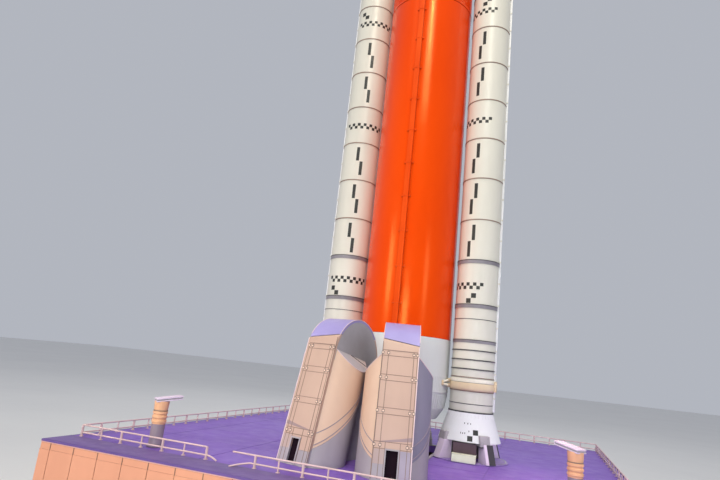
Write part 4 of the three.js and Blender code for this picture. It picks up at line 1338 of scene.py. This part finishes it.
def frame_strip(half_x, half_y, width, low, high, soft=0.02):
    """Points and faces of a rectangular frame on the deck, outer size given, with mitred corners."""
    section = [(0, low), (0, high - soft), (-soft, high), (-width, high), (-width, low)]
    points, faces = [], []
    for x_sign, y_sign in ((1, -1), (1, 1), (-1, 1), (-1, -1)):
        for out, height in section:
            points.append(on_deck(x_sign * (half_x + out), y_sign * (half_y + out), height))
    count = len(section)
    for corner in range(4):
        here, there = corner * count, (corner + 1) % 4 * count
        for i in range(count):
            j = (i + 1) % count
            faces.append([here + i, there + i, there + j, here + j])
    return points, faces


# The edge strip's violet, like the deck's, is partly painted violet light.
edge_violet = paint("edge violet", (0.16, 0.09, 0.33), (0.12, 0.07, 0.27), (0.38, 0.55), 9.0)
edge_pink = paint("edge pink", (0.80, 0.46, 0.42), (0.70, 0.39, 0.36), (0.38, 0.55), 9.0)
half_x, half_y = DECK["half_x"], DECK["half_y"]
piece("deck_edge_trim", *frame_strip(half_x, half_y, 0.14, -0.13, 0.0), edge_violet, "panel")
piece("deck_edge_lip", *frame_strip(half_x, half_y, 0.14, -0.19, -0.135), edge_pink, "panel")
piece("deck_edge_band", *frame_strip(half_x - 0.02, half_y - 0.02, 0.1, -0.6, -0.195), wall_tan, "panel")
piece("core_opening_curb", *frame_strip(3.72, 4.52, 0.22, -0.02, 0.09), shoe_grey, "grey")
print("trim", 2 * half_x, "m by", 2 * half_y, "m")

# %% [markdown]
# The deck's sides are clad with tall plates, a little under two metres wide, with a narrow one at the middle
# and at the corners. Behind the joints is a darker wall, which makes each joint a thin shadow. Short strips
# carry the joints on across the band above.

# %% Walls
PLATE_PITCH = 1.95
PLATE_JOINT = 0.045
PLATE_DEPTH = 0.06
PLATE_FOOT = 0.2
MIDDLE_HALF = 0.49
BAND_JOINT = 0.4
WALL_TOP = DECK["height"] - DECK["plate"] - 0.006
PLATE_SIZE = (PLATE_PITCH - PLATE_JOINT, PLATE_DEPTH, WALL_TOP - PLATE_FOOT)
joint_brown = paint("joint shade", (0.22, 0.12, 0.08), (0.16, 0.085, 0.06), (0.5, 0.65), 8.0)
WALLS = (
    # node, half length, distance, turn of the wall's outward side
    ("deck_front_wall", half_x, half_y, -90),
    ("deck_rear_wall", half_x, half_y, 90),
    ("deck_left_wall", half_y - PLATE_DEPTH, half_x, 180),
    ("deck_right_wall", half_y - PLATE_DEPTH, half_x, 0),
)
for node, half_length, distance, turn in WALLS:
    angle = math.radians(turn)
    out = Vector((math.cos(angle), math.sin(angle), 0))
    run = Vector((-math.sin(angle), math.cos(angle), 0))

    def place(along, away, height):
        return (run * along + out * away) * M + Vector((0, 0, height * M))

    end = half_length - 0.06
    backing = block((-end, distance - 0.5, 0.0), (end, distance - 0.05, WALL_TOP), place)
    piece(node + "_backing", *backing, joint_brown, "panel", (node,))
    whole = int((half_length - MIDDLE_HALF - 0.3) / PLATE_PITCH)
    centre_height = PLATE_FOOT + PLATE_SIZE[2] / 2
    size, thin = PLATE_SIZE, (PLATE_JOINT, 0.02, BAND_JOINT)
    if abs(out.x) > 0.5:
        size, thin = (size[1], size[0], size[2]), (thin[1], thin[0], thin[2])
    for word, way in (("first", -1), ("last", 1)):
        start = place(way * (MIDDLE_HALF + PLATE_PITCH / 2), distance - PLATE_DEPTH / 2, centre_height)
        step = run * way * PLATE_PITCH
        values = line_values(whole, start, step, size)
        grow(f"{node}_{word}_plates", copies_along, values, wall_tan, "panel")
        start = place(way * MIDDLE_HALF, distance - 0.012, DECK["height"] - BAND_JOINT)
        values = line_values(whole + 1, start, step, thin)
        grow(f"{node}_{word}_band_joints", copies_along, values, joint_brown)
    reached = MIDDLE_HALF + whole * PLATE_PITCH
    back = distance - PLATE_DEPTH
    end = MIDDLE_HALF - PLATE_JOINT / 2
    shapes = [block((-end, back, PLATE_FOOT), (end, distance, WALL_TOP), place)]
    for way in (-1, 1):
        ends = sorted((way * (reached + PLATE_JOINT / 2), way * half_length))
        shapes.append(block((ends[0], back, PLATE_FOOT), (ends[1], distance, WALL_TOP), place))
    end = half_length - 0.02
    shapes.append(block((-end, distance - 0.08, 0.0), (end, distance - 0.02, 0.17), place))
    piece(node + "_narrow_plates", *merged(*shapes), wall_tan, "panel")
print(whole, "whole plates on each half of a side wall")

# %% [markdown]
# ## Guard rails
#
# A rail is two tubes on posts, and every second post is thinner. One tree plants the posts with their foot
# discs. The tubes are plain round bars, and beside the gate the lower one curls down to the deck.

# %% Rail posts


def post_tree(name):
    tree, given, output = new_tree(
        name,
        ("Count", "Int"),
        ("Start", "Vector"),
        ("Step", "Vector"),
        ("Post Height", "Float"),
        ("Post Radius", "Float"),
        ("Thin Share", "Float"),
        ("Foot Radius", "Float"),
        ("Foot Height", "Float"),
        ("Material", "Material"),
    )
    links = {"Count": given["Count"], "Start Location": given["Start"], "Offset": given["Step"]}
    line = put(tree, "GeometryNodeMeshLine", links=links).outputs[0]
    index = put(tree, "GeometryNodeInputIndex").outputs[0]
    odd = calc(tree, "MODULO", index, 2.0)
    width = calc(tree, "SUBTRACT", 1.0, calc(tree, "MULTIPLY", odd, given["Thin Share"]))
    grown = []
    for sides, radius, height, scale in (
        (12, given["Post Radius"], given["Post Height"], vector(tree, width, width, 1.0)),
        (16, given["Foot Radius"], given["Foot Height"], vector(tree, 1.0, 1.0, 1.0)),
    ):
        links = {"Radius": radius, "Depth": height}
        rod = put(tree, "GeometryNodeMeshCylinder", {"Vertices": sides}, links).outputs[0]
        lift = vector(tree, 0.0, 0.0, calc(tree, "MULTIPLY", height, 0.5))
        lifted = put(tree, "GeometryNodeTransform", links={"Geometry": rod, "Translation": lift}).outputs[0]
        links = {"Points": line, "Instance": lifted, "Scale": scale}
        grown.append(put(tree, "GeometryNodeInstanceOnPoints", links=links).outputs[0])
    both = put(tree, "GeometryNodeJoinGeometry")
    for geometry in grown:
        tree.links.new(geometry, both.inputs[0])
    close_tree(tree, output, both.outputs[0], given["Material"])
    return tree


posts_along = post_tree("posts along a line")
print("post tree ready")

# %% Rails
RAIL = {"height": 0.755, "middle": 0.26, "radius": 0.054, "post": 0.085, "thin_share": 0.36}
RAIL_FOOT = {"radius": 0.14, "height": 0.03}
RAIL_X, RAIL_FRONT, RAIL_REAR = 18.2, -17.8, 19.7
RUNS = (
    # node, one end, other end, spaces between posts, posts left out at each end
    ("front_left_guard_rail", (-RAIL_X, RAIL_FRONT), (-8.0, RAIL_FRONT), 6, 0),
    ("front_right_guard_rail", (-4.48, RAIL_FRONT), (RAIL_X, RAIL_FRONT), 14, 0),
    ("left_guard_rail", (-RAIL_X, RAIL_FRONT), (-RAIL_X, RAIL_REAR), 22, 1),
    ("right_guard_rail", (RAIL_X, RAIL_FRONT), (RAIL_X, RAIL_REAR), 22, 1),
    ("rear_guard_rail", (-RAIL_X, RAIL_REAR), (RAIL_X, RAIL_REAR), 22, 0),
)
LEFT_CURL = ((-8.0, RAIL_FRONT, RAIL["middle"]), (-7.6, RAIL_FRONT, 0.25), (-7.2, RAIL_FRONT, 0.03))
RIGHT_CURL = ((-5.8, -18.6, 0.03), (-5.4, -18.15, 0.17), (-4.8, RAIL_FRONT, RAIL["middle"]))
RIGHT_TOP_END = -6.1


def rail_path(ends, height):
    return [on_deck(x, y, height) for x, y in ends]


for node, first, last, spaces, left_out in RUNS:
    step = Vector(((last[0] - first[0]) / spaces, (last[1] - first[1]) / spaces, 0))
    values = {
        "Count": spaces + 1 - 2 * left_out,
        "Start": on_deck(first[0], first[1], 0) + step * left_out * M,
        "Step": step * M,
        "Post Height": RAIL["height"] * M,
        "Post Radius": RAIL["post"] * M,
        "Thin Share": RAIL["thin_share"],
        "Foot Radius": RAIL_FOOT["radius"] * M,
        "Foot Height": RAIL_FOOT["height"] * M,
    }
    grow(node + "_posts", posts_along, values, rail_cream, "rail")
    top_ends, middle = [first, last], rail_path((first, last), RAIL["middle"])
    if node == "front_right_guard_rail":
        top_ends[0] = (RIGHT_TOP_END, RAIL_FRONT)
        middle = arc(*(on_deck(*point) for point in RIGHT_CURL)) + middle[1:]
    if node == "front_left_guard_rail":
        middle = middle[:1] + arc(*(on_deck(*point) for point in LEFT_CURL))
    paths = (rail_path(top_ends, RAIL["height"]), middle)
    bars = [tube(path, RAIL["radius"] * M, 14) for path in paths]
    piece(node + "_tubes", *merged(*bars), rail_cream, "rail", (node,))
print(len(RUNS), "rails")

# %% [markdown]
# ## Tail masts
#
# Two masts stand in front of the rocket's foot and lean back towards it. Each is an upright slab with a
# round top, wrapped below by a round shroud whose roof falls away to both sides and a little to the back.
# Both parts lean by shearing: a point moves back by its height times a slope. The parts are joined and split
# by Booleans in the mast's own coordinates, then moved.

# %% Mast shape
MAST = {"x": 3.4, "y": -14.9, "yaw": 13.7, "lean": 13.4, "height": 10.1, "half": 1.265, "depth": 6.14}
SHROUD = {"y": 2.25, "radius": 2.4, "ridge": 7.76, "slope": 0.93, "fall": 0.16}
BASE_SEAM = {"front": 0.78, "slope": 0.75, "bend": 3.0, "steep": 0.9}
HOOD_SEAM = {"middle": 8.62, "slope": 0.138}
DOORS = {
    # mast: low x, high x, top
    "left": (-0.4, 0.215, 1.62),
    "right": (-0.4, 0.365, 1.78),
}
DOOR = {"foot": 0.1, "depth": 0.9}
lean = math.tan(math.radians(MAST["lean"]))


def plain(x, y, z):
    return Vector((x, y, z))


def leaned(x, y, z):
    return Vector((x, y + z * lean, z))


def sideways(y, x, z):
    return Vector((x, y, z))


def slab():
    """The slab's side outline is a front line, an arch and a back line."""
    tilt = math.radians(MAST["lean"])
    radius = MAST["depth"] / 2
    depth = MAST["depth"] / math.cos(tilt)
    spring = MAST["height"] - radius
    middle = depth / 2 + spring * lean
    outline = [(0, 0), (depth, 0)]
    for i in range(49):
        angle = -tilt + math.pi * i / 48
        outline.append((middle + radius * math.cos(angle), spring + radius * math.sin(angle)))
    return prism(outline, -MAST["half"], MAST["half"], sideways)


def roofed(x, y, z):
    return leaned(x, y, z - SHROUD["fall"] * y)


def under_roof(lift):
    """The space under the shroud's roof, which falls away to both sides and the back."""
    half, eave, ridge = MAST["half"], MAST["half"] + 2, SHROUD["ridge"] + lift
    edge = ridge - 2 * SHROUD["slope"]
    outline = [(-half, ridge), (-eave, edge), (-eave, -1), (eave, -1), (eave, edge), (half, ridge)]
    return prism(outline, -6, 14, roofed)


def shroud(lift=0.0):
    """A drum around the slab, trimmed just inside the slab's front face and under the roof."""
    top = SHROUD["ridge"] + 0.5
    drum_profile = [[0, 0], [SHROUD["radius"], 0], [SHROUD["radius"], top], [0, top]]
    shape = spin(drum_profile, 112, 0, SHROUD["y"], leaned)
    return carve(shape, "INTERSECT", under_roof(lift), block((-4, 0.05, -1), (4, 9, 11), leaned))


def seam_wedge(offset):
    """Everything below the slanting seam between base and shell, which steepens towards the back."""
    start, slope, bend = BASE_SEAM["front"] + offset, BASE_SEAM["slope"], BASE_SEAM["bend"]
    middle = start + bend * slope
    outline = [(-2, -1), (14, -1), (14, middle + (14 - bend) * BASE_SEAM["steep"]), (bend, middle)]
    outline += [(-0.5, start - 0.5 * slope), (-2, start - 0.5 * slope)]
    return prism(outline, -5, 5, sideways)


def hood_wedge(side, offset):
    """Everything above the slanting seam of the hood."""
    ends = [HOOD_SEAM["middle"] + offset - side * HOOD_SEAM["slope"] * x for x in (-4, 4)]
    return prism([(-4, ends[0]), (4, ends[1]), (4, 12), (-4, 12)], -6, 16, plain)


def outer_side(side, offset):
    """Everything beside the slab on the side that faces away from the other mast."""
    low, high = sorted((side * (MAST["half"] + offset), side * 4))
    return block((low, -2, -2), (high, 14, 12), plain)


body = carve(slab(), "UNION", shroud())
print("mast body of", len(body[1]), "faces")

# %% [markdown]
# Each mast is set in place by a turn about the upright and a shift. The grey base, the tan shell with its two
# cheeks and the lilac hood are cut from the same body with a hair's gap, so their seams show as on the real
# one. The cheeks carry painted light and shade on the shell's one tan: the cheek towards the other mast is a
# lighter tan, as lit, and the outer cheek a grey-violet, as in shade. The shroud's roof is a thin layer on top,
# paler at the rear.

# %% Masts in place


def mast_place(side):
    turn = math.radians(side * MAST["yaw"])

    def place(x, y, z):
        on_x = side * MAST["x"] + x * math.cos(turn) - y * math.sin(turn)
        on_y = MAST["y"] + x * math.sin(turn) + y * math.cos(turn)
        return on_deck(on_x, on_y, z) + Vector((0, 0, SEAM))

    return place


def set_down(shape, place):
    points, faces = shape
    return [place(*point) for point in points], faces


def over_plan(x, z, y):
    return leaned(x, y, z)


rear = []
for way in (-1, 1):
    outline = [(way * 1.2, 1.58), (way * 2.6, 5.2), (way * 2.6, 8.0), (way * 1.2, 8.0)]
    rear.append(prism(outline, 5.0, 9.0, over_plan))
roof = carve(shroud(0.03), "DIFFERENCE", under_roof(0), block((-1.264, -2, 5), (1.264, 12, 9), plain))
roof_rear = carve(roof, "INTERSECT", merged(*rear))
roof_front = carve(roof, "DIFFERENCE", merged(*rear))

for side_name, side in SIDES:
    place = mast_place(side)
    prefix = side_name + "_tail_mast_"
    low_x, high_x, top = DOORS[side_name]
    whole = carve(body, "DIFFERENCE", block((low_x, -1, DOOR["foot"]), (high_x, DOOR["depth"], top), plain))
    foot = carve(whole, "INTERSECT", seam_wedge(0))
    shell = carve(whole, "DIFFERENCE", seam_wedge(0.02))
    hood = carve(shell, "INTERSECT", hood_wedge(side, 0.045))
    shell = carve(shell, "DIFFERENCE", hood_wedge(side, 0))
    # Painted light and shade: the outer cheek takes the shaded grey-violet, the inner cheek the lighter, lit
    # tan.
    cheek = carve(shell, "INTERSECT", outer_side(side, 0.006))
    shell = carve(shell, "DIFFERENCE", outer_side(side, 0.002))
    drum = carve(shell, "INTERSECT", outer_side(-side, 0.006))
    shell = carve(shell, "DIFFERENCE", outer_side(-side, 0.002))
    piece(prefix + "foot", *set_down(foot, place), mast_grey, "grey", (prefix + "base",))
    piece(prefix + "skin", *set_down(shell, place), mast_tan, "mast", (prefix + "shell",))
    piece(prefix + "outer_cheek", *set_down(cheek, place), shaded_cheek_grey, "mast")
    piece(prefix + "inner_cheek", *set_down(drum, place), lit_cheek_tan, "mast")
    piece(prefix + "hood", *set_down(hood, place), hood_lilac, "mast")
    piece(prefix + "roof_front", *set_down(roof_front, place), roof_grey, "grey")
    piece(prefix + "roof_rear", *set_down(roof_rear, place), roof_pale, "grey")
print("two masts, turned", MAST["yaw"], "degrees towards the core's axis")

# %% [markdown]
# The front of each mast is ruled with thin joints: four double lines across and pairs of upright ones, with a
# small square cover where they cross. Round the shroud runs a double line above the base. Pale beads along the
# roof's eaves, the hood's edges and the slab's outer edge are painted highlights, where those edges catch the
# light. Coloured plates stand beside the door, and a band of shade follows the seam above them. The dark line
# in the crease at the slab's inner edge is partly a joint and partly painted shade, and the recess behind each
# door is filled with near-black painted shade. The sides of the arch are dark grey plates.

# %% Joints and plates on the masts
joint_line = paint("joint line", (0.27, 0.17, 0.14), (0.20, 0.125, 0.10), (0.45, 0.6), 14.0)
seam_lilac = paint("seam lilac", (0.36, 0.29, 0.33), (0.28, 0.22, 0.26), (0.45, 0.6), 14.0)
mast_pale = paint("mast pale", (0.84, 0.62, 0.50), (0.76, 0.55, 0.44), (0.38, 0.52), 12.0)
# A near-black paint for painted shade in the deep recess behind each door.
doorway_shade = paint(
    "doorway_shade",
    (0.012, 0.004, 0.01),
    (0.008, 0.003, 0.007),
    (0.7, 0.85),
    cloud=10.0,
    Specular_IOR_Level=0.1,
)
plate_dusk = paint("plate dusk", (0.52, 0.38, 0.35), (0.44, 0.32, 0.30), (0.4, 0.55), 10.0)
plate_violet = paint("plate violet", (0.40, 0.345, 0.43), (0.33, 0.285, 0.36), (0.4, 0.55), 10.0)
shade_dusk = paint("shade dusk", (0.38, 0.26, 0.27), (0.32, 0.22, 0.23), (0.4, 0.55), 10.0)
highlight_pink = paint("highlight pink", (0.86, 0.66, 0.68), (0.78, 0.59, 0.62), (0.3, 0.45), 12.0)
ACROSS = ((7.65, 8.02), (6.02, 6.4), (3.9, 4.3), (1.85, 2.25))
UPRIGHTS = {"left": (-1.04, -0.74, 0.84, 1.13), "right": (-1.22, -0.83, 0.91, 1.16)}
JAMB_LINES = {"left": (-0.48, 0.34), "right": (-0.5, 0.47)}
SHROUD_LINES = ((1.6, 0.73), (0.96, 0.76))
SHADE = ((-0.9, 2.2), (0.4, 2.34), (1.262, 2.42), (1.262, 2.68), (0.4, 2.5), (-0.9, 2.27))
LINE = 0.018
PLATES = {
    # mast: low x, high x, foot, top and paint of each plate
    "left": ((-1.262, -0.5, 0.96, 1.8, plate_dusk),),
    "right": ((-1.262, -0.5, 0.96, 1.8, plate_dusk), (0.465, 1.262, 0.1, 1.8, plate_violet)),
}


def front_place(place):
    """Places on the leaning front: across, out of it and up."""
    return lambda x, out, z: place(x, z * lean - out, z)


def shroud_line(start, rise, way, place):
    """A line round one cheek of the shroud, where z is start plus rise times y."""
    path = []
    for i in range(33):
        angle = math.radians(-58 + 116 * i / 32)
        y = SHROUD["y"] + SHROUD["radius"] * math.sin(angle)
        z = (start + rise * y) / (1 - rise * lean)
        path.append(place(way * SHROUD["radius"] * math.cos(angle), y + z * lean, z))
    return tube(path, 0.03 * M, 8)


def eave_line(way, place):
    """A pale bead along the edge of the shroud's roof: a painted highlight where the edge catches the light."""
    path = []
    for i in range(33):
        angle = math.radians(-58 + 116 * i / 32)
        x, y = SHROUD["radius"] * math.cos(angle), SHROUD["y"] + SHROUD["radius"] * math.sin(angle)
        z = SHROUD["ridge"] + 0.02 - SHROUD["slope"] * (x - MAST["half"]) - SHROUD["fall"] * y
        path.append(place(way * x, y + z * lean, z))
    return tube(path, 0.028 * M, 8)


def hood_rim(way, place):
    """A pale bead along one edge of the hood: a painted highlight where the edge catches the light."""
    tilt = math.radians(MAST["lean"])
    spring, radius = MAST["height"] - MAST["depth"] / 2, MAST["depth"] / 2
    middle = MAST["depth"] / math.cos(tilt) / 2 + spring * lean
    path = []
    for i in range(25):
        angle = math.radians(33 + 114 * i / 24)
        y, z = middle + radius * math.cos(angle), spring + radius * math.sin(angle)
        path.append(place(way * MAST["half"], y, z))
    return tube(path, 0.026 * M, 8)


def disc_plate(way):
    """The plate on one side of the arch: round on top, with its foot inside the shroud."""
    tilt = math.radians(MAST["lean"])
    deep = MAST["depth"] / math.cos(tilt)
    spring = MAST["height"] - MAST["depth"] / 2
    middle, rim = deep / 2 + spring * lean, 0.19
    outline = []
    for i in range(49):
        angle = -tilt + math.pi * i / 48
        radius = MAST["depth"] / 2 - rim
        outline.append((middle + radius * math.cos(angle), spring + radius * math.sin(angle)))
    outline += [(rim + 7.0 * lean, 7.0), (deep - rim + 6.3 * lean, 6.3)]
    low, high = sorted((way * (MAST["half"] - 0.05), way * (MAST["half"] + 0.018)))
    return prism(outline, low, high, sideways)


def roof_line(way, place):
    """The dark joint that crosses the roof from the slab to the back of the eave."""
    path = []
    for i in range(9):
        x = MAST["half"] + (1.74 - MAST["half"]) * i / 8
        y = 2.2 + 1.7 * i / 8
        z = SHROUD["ridge"] + 0.03 - SHROUD["slope"] * (x - MAST["half"]) - SHROUD["fall"] * y
        path.append(place(way * x, y + z * lean, z))
    return tube(path, 0.035 * M, 8)


for side_name, side in SIDES:
    place = mast_place(side)
    front = front_place(place)
    prefix = side_name + "_tail_mast_"
    lines, rims, covers, faint, highlight_beads = [], [], [], [], []
    for pair in ACROSS:
        for z in pair:
            ends = UPRIGHTS[side_name][0], UPRIGHTS[side_name][-1]
            lines.append(block((ends[0], -0.02, z - LINE), (ends[1], 0.012, z + LINE), front))
        middle = sum(pair) / 2
        for x in UPRIGHTS[side_name]:
            rims.append(block((x - 0.085, -0.02, middle - 0.085), (x + 0.085, 0.02, middle + 0.085), front))
            covers.append(block((x - 0.06, -0.02, middle - 0.06), (x + 0.06, 0.035, middle + 0.06), front))
    for x in UPRIGHTS[side_name]:
        lines.append(block((x - LINE, -0.02, 0.12), (x + LINE, 0.012, 8.02), front))
    for x in JAMB_LINES[side_name]:
        lines.append(block((x - LINE, -0.02, 0.12), (x + LINE, 0.012, 2.25), front))
    # The dark line at the slab's inner edge is partly a joint and partly painted shade in the crease against
    # the inner cheek.
    inner = sorted((-side * (MAST["half"] - 0.035), -side * (MAST["half"] + 0.004)))
    lines.append(block((inner[0], -0.02, 0.1), (inner[1], 0.012, 8.6), front))
    # Painted highlight: a pale strip on the slab's outer edge, where it catches the light.
    outer = sorted((side * (MAST["half"] - 0.05), side * (MAST["half"] + 0.004)))
    highlight_beads.append(block((outer[0], -0.02, 0.1), (outer[1], 0.012, 8.4), front))
    for way in (-1, 1):
        rims.append(roof_line(way, place))
        highlight_beads += [eave_line(way, place), hood_rim(way, place)]
        for start, rise in SHROUD_LINES:
            faint.append(shroud_line(start, rise, way, place))
    piece(prefix + "joints", *merged(*lines), joint_line)
    piece(prefix + "joint_rims", *merged(*rims), line_dark)
    piece(prefix + "shroud_lines", *merged(*faint), seam_lilac)
    piece(prefix + "highlight_beads", *merged(*highlight_beads), highlight_pink, "mast")
    shade = [(side * x, z) for x, z in SHADE]
    piece(prefix + "shade", *prism(shade, -0.02, 0.005, front), shade_dusk)
    for k, (low_x, high_x, foot, top, coat) in enumerate(PLATES[side_name], 1):
        plate = block((low_x, -0.02, foot), (high_x, 0.006, top), front)
        piece(f"{prefix}door_plate_{k}", *plate, coat, "mast")
    piece(prefix + "joint_covers", *merged(*covers), mast_pale, "mast", bevel=0.012)
    discs = [disc_plate(way) for way in (-1, 1)]
    piece(prefix + "discs", *set_down(merged(*discs), place), disc_grey, "grey")
    low_x, high_x, top = DOORS[side_name]
    # Painted shade: the recess behind the door is lined with a near-black block, where the doorway lies in
    # shadow.
    outline = [(DOOR["foot"] * lean + 0.14, DOOR["foot"]), (DOOR["depth"], DOOR["foot"])]
    outline += [(DOOR["depth"], top), (top * lean + 0.14, top)]
    dark = prism(outline, low_x - 0.01, high_x + 0.01, sideways)
    piece(prefix + "doorway_shade", *set_down(dark, place), doorway_shade)
    jambs = [
        block((low_x - 0.09, -0.03, 0.04), (low_x, 0.05, top + 0.09), front),
        block((high_x, -0.03, 0.04), (high_x + 0.09, 0.05, top + 0.09), front),
        block((low_x, -0.03, top), (high_x, 0.05, top + 0.09), front),
    ]
    piece(prefix + "door_frame", *merged(*jambs), mast_grey, "grey")
print(2 * len(ACROSS) * len(UPRIGHTS["left"]), "joint covers")

# %% [markdown]
# ## Water pillars
#
# Before lift-off, pillars flood the deck with water. Each is a banded post with an outlet of three flat
# layers, which points at the core and rises a little towards it.

# %% Water pillars
pillar_tan = paint("pillar tan", (0.96, 0.53, 0.30), (0.86, 0.45, 0.24), (0.35, 0.5), 9.0)
pillar_grey = paint("pillar grey", (0.35, 0.27, 0.33), (0.27, 0.21, 0.26), (0.38, 0.55), 9.0)
PILLARS = (("left", -12.7, -16.9), ("right", 14.2, -11.5))
PILLAR = {"radius": 0.45, "foot": 0.54, "head": 0.5, "waist": 1.5, "bands": 1.55, "collar": 2.4}
OUTLET = {"low": 3.0, "back": -0.46, "reach": 1.28, "half": 0.44, "rise": 0.15}
for side_name, x, y in PILLARS:
    node = side_name + "_water_nozzle"
    radius, foot, head, waist = PILLAR["radius"], PILLAR["foot"], PILLAR["head"], PILLAR["waist"]
    lower = [[0, 0.006], [foot - 0.02, 0.006], [foot, 0.03], [foot, 0.1], [0.5, 0.13], [0.46, 0.15]]
    lower += [[radius, 0.2], [radius, waist], [0, waist]]
    upper = [[0, waist], [radius, waist], [radius, 1.6]]
    step = (PILLAR["collar"] - PILLAR["bands"]) / 3
    for i in range(3):
        low = PILLAR["bands"] + i * step
        upper += [[radius, low + 0.03], [0.495, low + 0.07], [head, low + step * 0.45]]
        upper += [[0.495, low + step * 0.72], [radius, low + step * 0.8]]
    upper += [[radius, 2.42], [0.47, 2.5], [head, OUTLET["low"]], [0, OUTLET["low"]]]
    turned(node + "_post", lower, 48, pillar_grey, "grey", (node,), x, y, on_deck)
    turned(node + "_head", upper, 48, pillar_tan, "mast", (), x, y, on_deck)
    aim = math.atan2(-y, -x)

    def place(along, across, height):
        on_x = x + along * math.cos(aim) - across * math.sin(aim)
        on_y = y + along * math.sin(aim) + across * math.cos(aim)
        return on_deck(on_x, on_y, height + OUTLET["rise"] * along)

    back, reach, half = OUTLET["back"], OUTLET["reach"], OUTLET["half"]
    layers = [
        block((back, -half, OUTLET["low"]), (reach, half, 3.08), place),
        block((back, -half, 3.16), (reach, half, 3.25), place),
    ]
    piece(node + "_plates", *merged(*layers), post_pale, "mast", bevel=0.02)
    grooves = []
    for low in (1.68, 1.95, 2.36):
        profile = [[0.4, low], [0.478, low], [0.478, low + 0.055], [0.4, low + 0.055]]
        grooves.append(spin(profile, 48, x, y, on_deck))
    piece(node + "_grooves", *merged(*grooves), line_brown)
    core_layer = block((back + 0.04, -half + 0.04, 3.08), (reach - 0.04, half - 0.04, 3.16), place)
    piece(node + "_slot", *core_layer, disc_grey, "grey")
    values = dict(round_values(10, 0.5, 0, (0.05, 0.07, 0.07)), Centre=on_deck(x, y, 0.13), Tilt=math.pi / 2)
    grow(node + "_foot_bolts", bolts_round, values, steel, "metal")
print("outlets stand", round(OUTLET["low"] * M * 1000), "mm above the deck")

# %% [markdown]
# ## Floor and light
#
# The set is a plain pale floor and a pale surround. Two warm keys and a warm glow stand in front on the left.
# Two cooler lights, a strong high one and a low one, stand in front on the right. Small glows reach the
# right booster's foot and the deck beside it, one light hangs above and one stands behind. A tall narrow
# light draws the bright stripe on the glossy tank.

# %% Floor
floor_paint = paint("studio floor", (0.80, 0.79, 0.77), (0.77, 0.76, 0.745), (0.55, 0.7), 0.8, 1.0, 0.0, 0.02)
points = [Vector((x, y, 0)) for x, y in ((-30, -30), (30, -30), (30, 30), (-30, 30))]
floor_mesh = bpy.data.meshes.new("floor")
floor_mesh.from_pydata([tuple(point) for point in points], [], [[0, 1, 2, 3]])
floor_mesh.materials.append(floor_paint)
floor = bpy.data.objects.new("floor", floor_mesh)
bpy.context.scene.collection.objects.link(floor)
floor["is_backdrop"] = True

world = bpy.data.worlds.new("studio")
world.use_nodes = True
world.node_tree.nodes["Background"].inputs["Color"].default_value = (0.86, 0.90, 1.0, 1)
world.node_tree.nodes["Background"].inputs["Strength"].default_value = 0.52
bpy.context.scene.world = world
bpy.context.scene.view_settings.view_transform = "Standard"
print("floor and surround")

# %% Lights


def area_light(name, place, target, size, power, tint, spread_angle=180):
    lamp = bpy.data.lights.new(name, "AREA")
    lamp.shape = "RECTANGLE"
    lamp.size, lamp.size_y = size
    lamp.spread = math.radians(spread_angle)
    lamp.energy = power
    lamp.color = tint
    holder = bpy.data.objects.new(name, lamp)
    holder.location = place
    holder.rotation_euler = (Vector(target) - Vector(place)).to_track_quat("-Z", "Y").to_euler()
    bpy.context.scene.collection.objects.link(holder)


area_light("key", (-2.2, -4.4, 6.0), (0, 0, 3.4), (2.0, 2.0), 11, (1.0, 0.92, 0.80))
area_light("low key", (-2.6, -4.6, 2.2), (0, -0.4, 0.75), (1.6, 1.4), 9, (1.0, 0.88, 0.72))
area_light("left glow", (-3.0, -3.6, 1.9), (-0.1, -0.7, 0.6), (1.0, 1.0), 4.8, (1.0, 0.86, 0.68), 60)
area_light("high front", (1.25, -5.0, 5.4), (0, 0, 3.0), (1.6, 1.6), 87, (0.94, 1.0, 0.98))
area_light("low front", (0.6, -5.2, 1.3), (0, -0.4, 0.3), (1.2, 0.8), 6.6, (0.94, 1.0, 0.98), 60)
area_light("right glow", (3.2, -2.4, 1.7), (0.38, 0, 0.75), (0.8, 0.8), 0.42, (0.86, 0.93, 1.0), 28)
area_light("deck glow", (0.98, -0.62, 2.7), (0.66, -0.46, 0.38), (0.5, 0.5), 0.8, (1.0, 0.62, 0.56), 22)
area_light("top", (0, -0.6, 9.0), (0, 0, 0), (3.0, 3.0), 87, (1.0, 1.0, 1.0))
area_light("stripe", (0.76, -3.0, 5.7), (0, 0, 4.9), (0.12, 2.6), 95, (1.0, 0.88, 0.62))
area_light("back", (-2.0, 6.0, 5.5), (0, 0, 2.5), (4.0, 3.0), 54, (0.94, 0.94, 1.0))
print("ten lights")

# %% [markdown]
# ## Sizes at the end
#
# Both boxes, the CAD's and the model's, are gathered here, and the model's size is printed. The
# model must stay inside the CAD box.

# %% Sizes and finish
low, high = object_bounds()
boxes = {
    "cad": [list(cad_low), list(cad_high)],
    "visual": [list(low), list(high)],
}
print("visual size", [round(v, 4) for v in high - low])
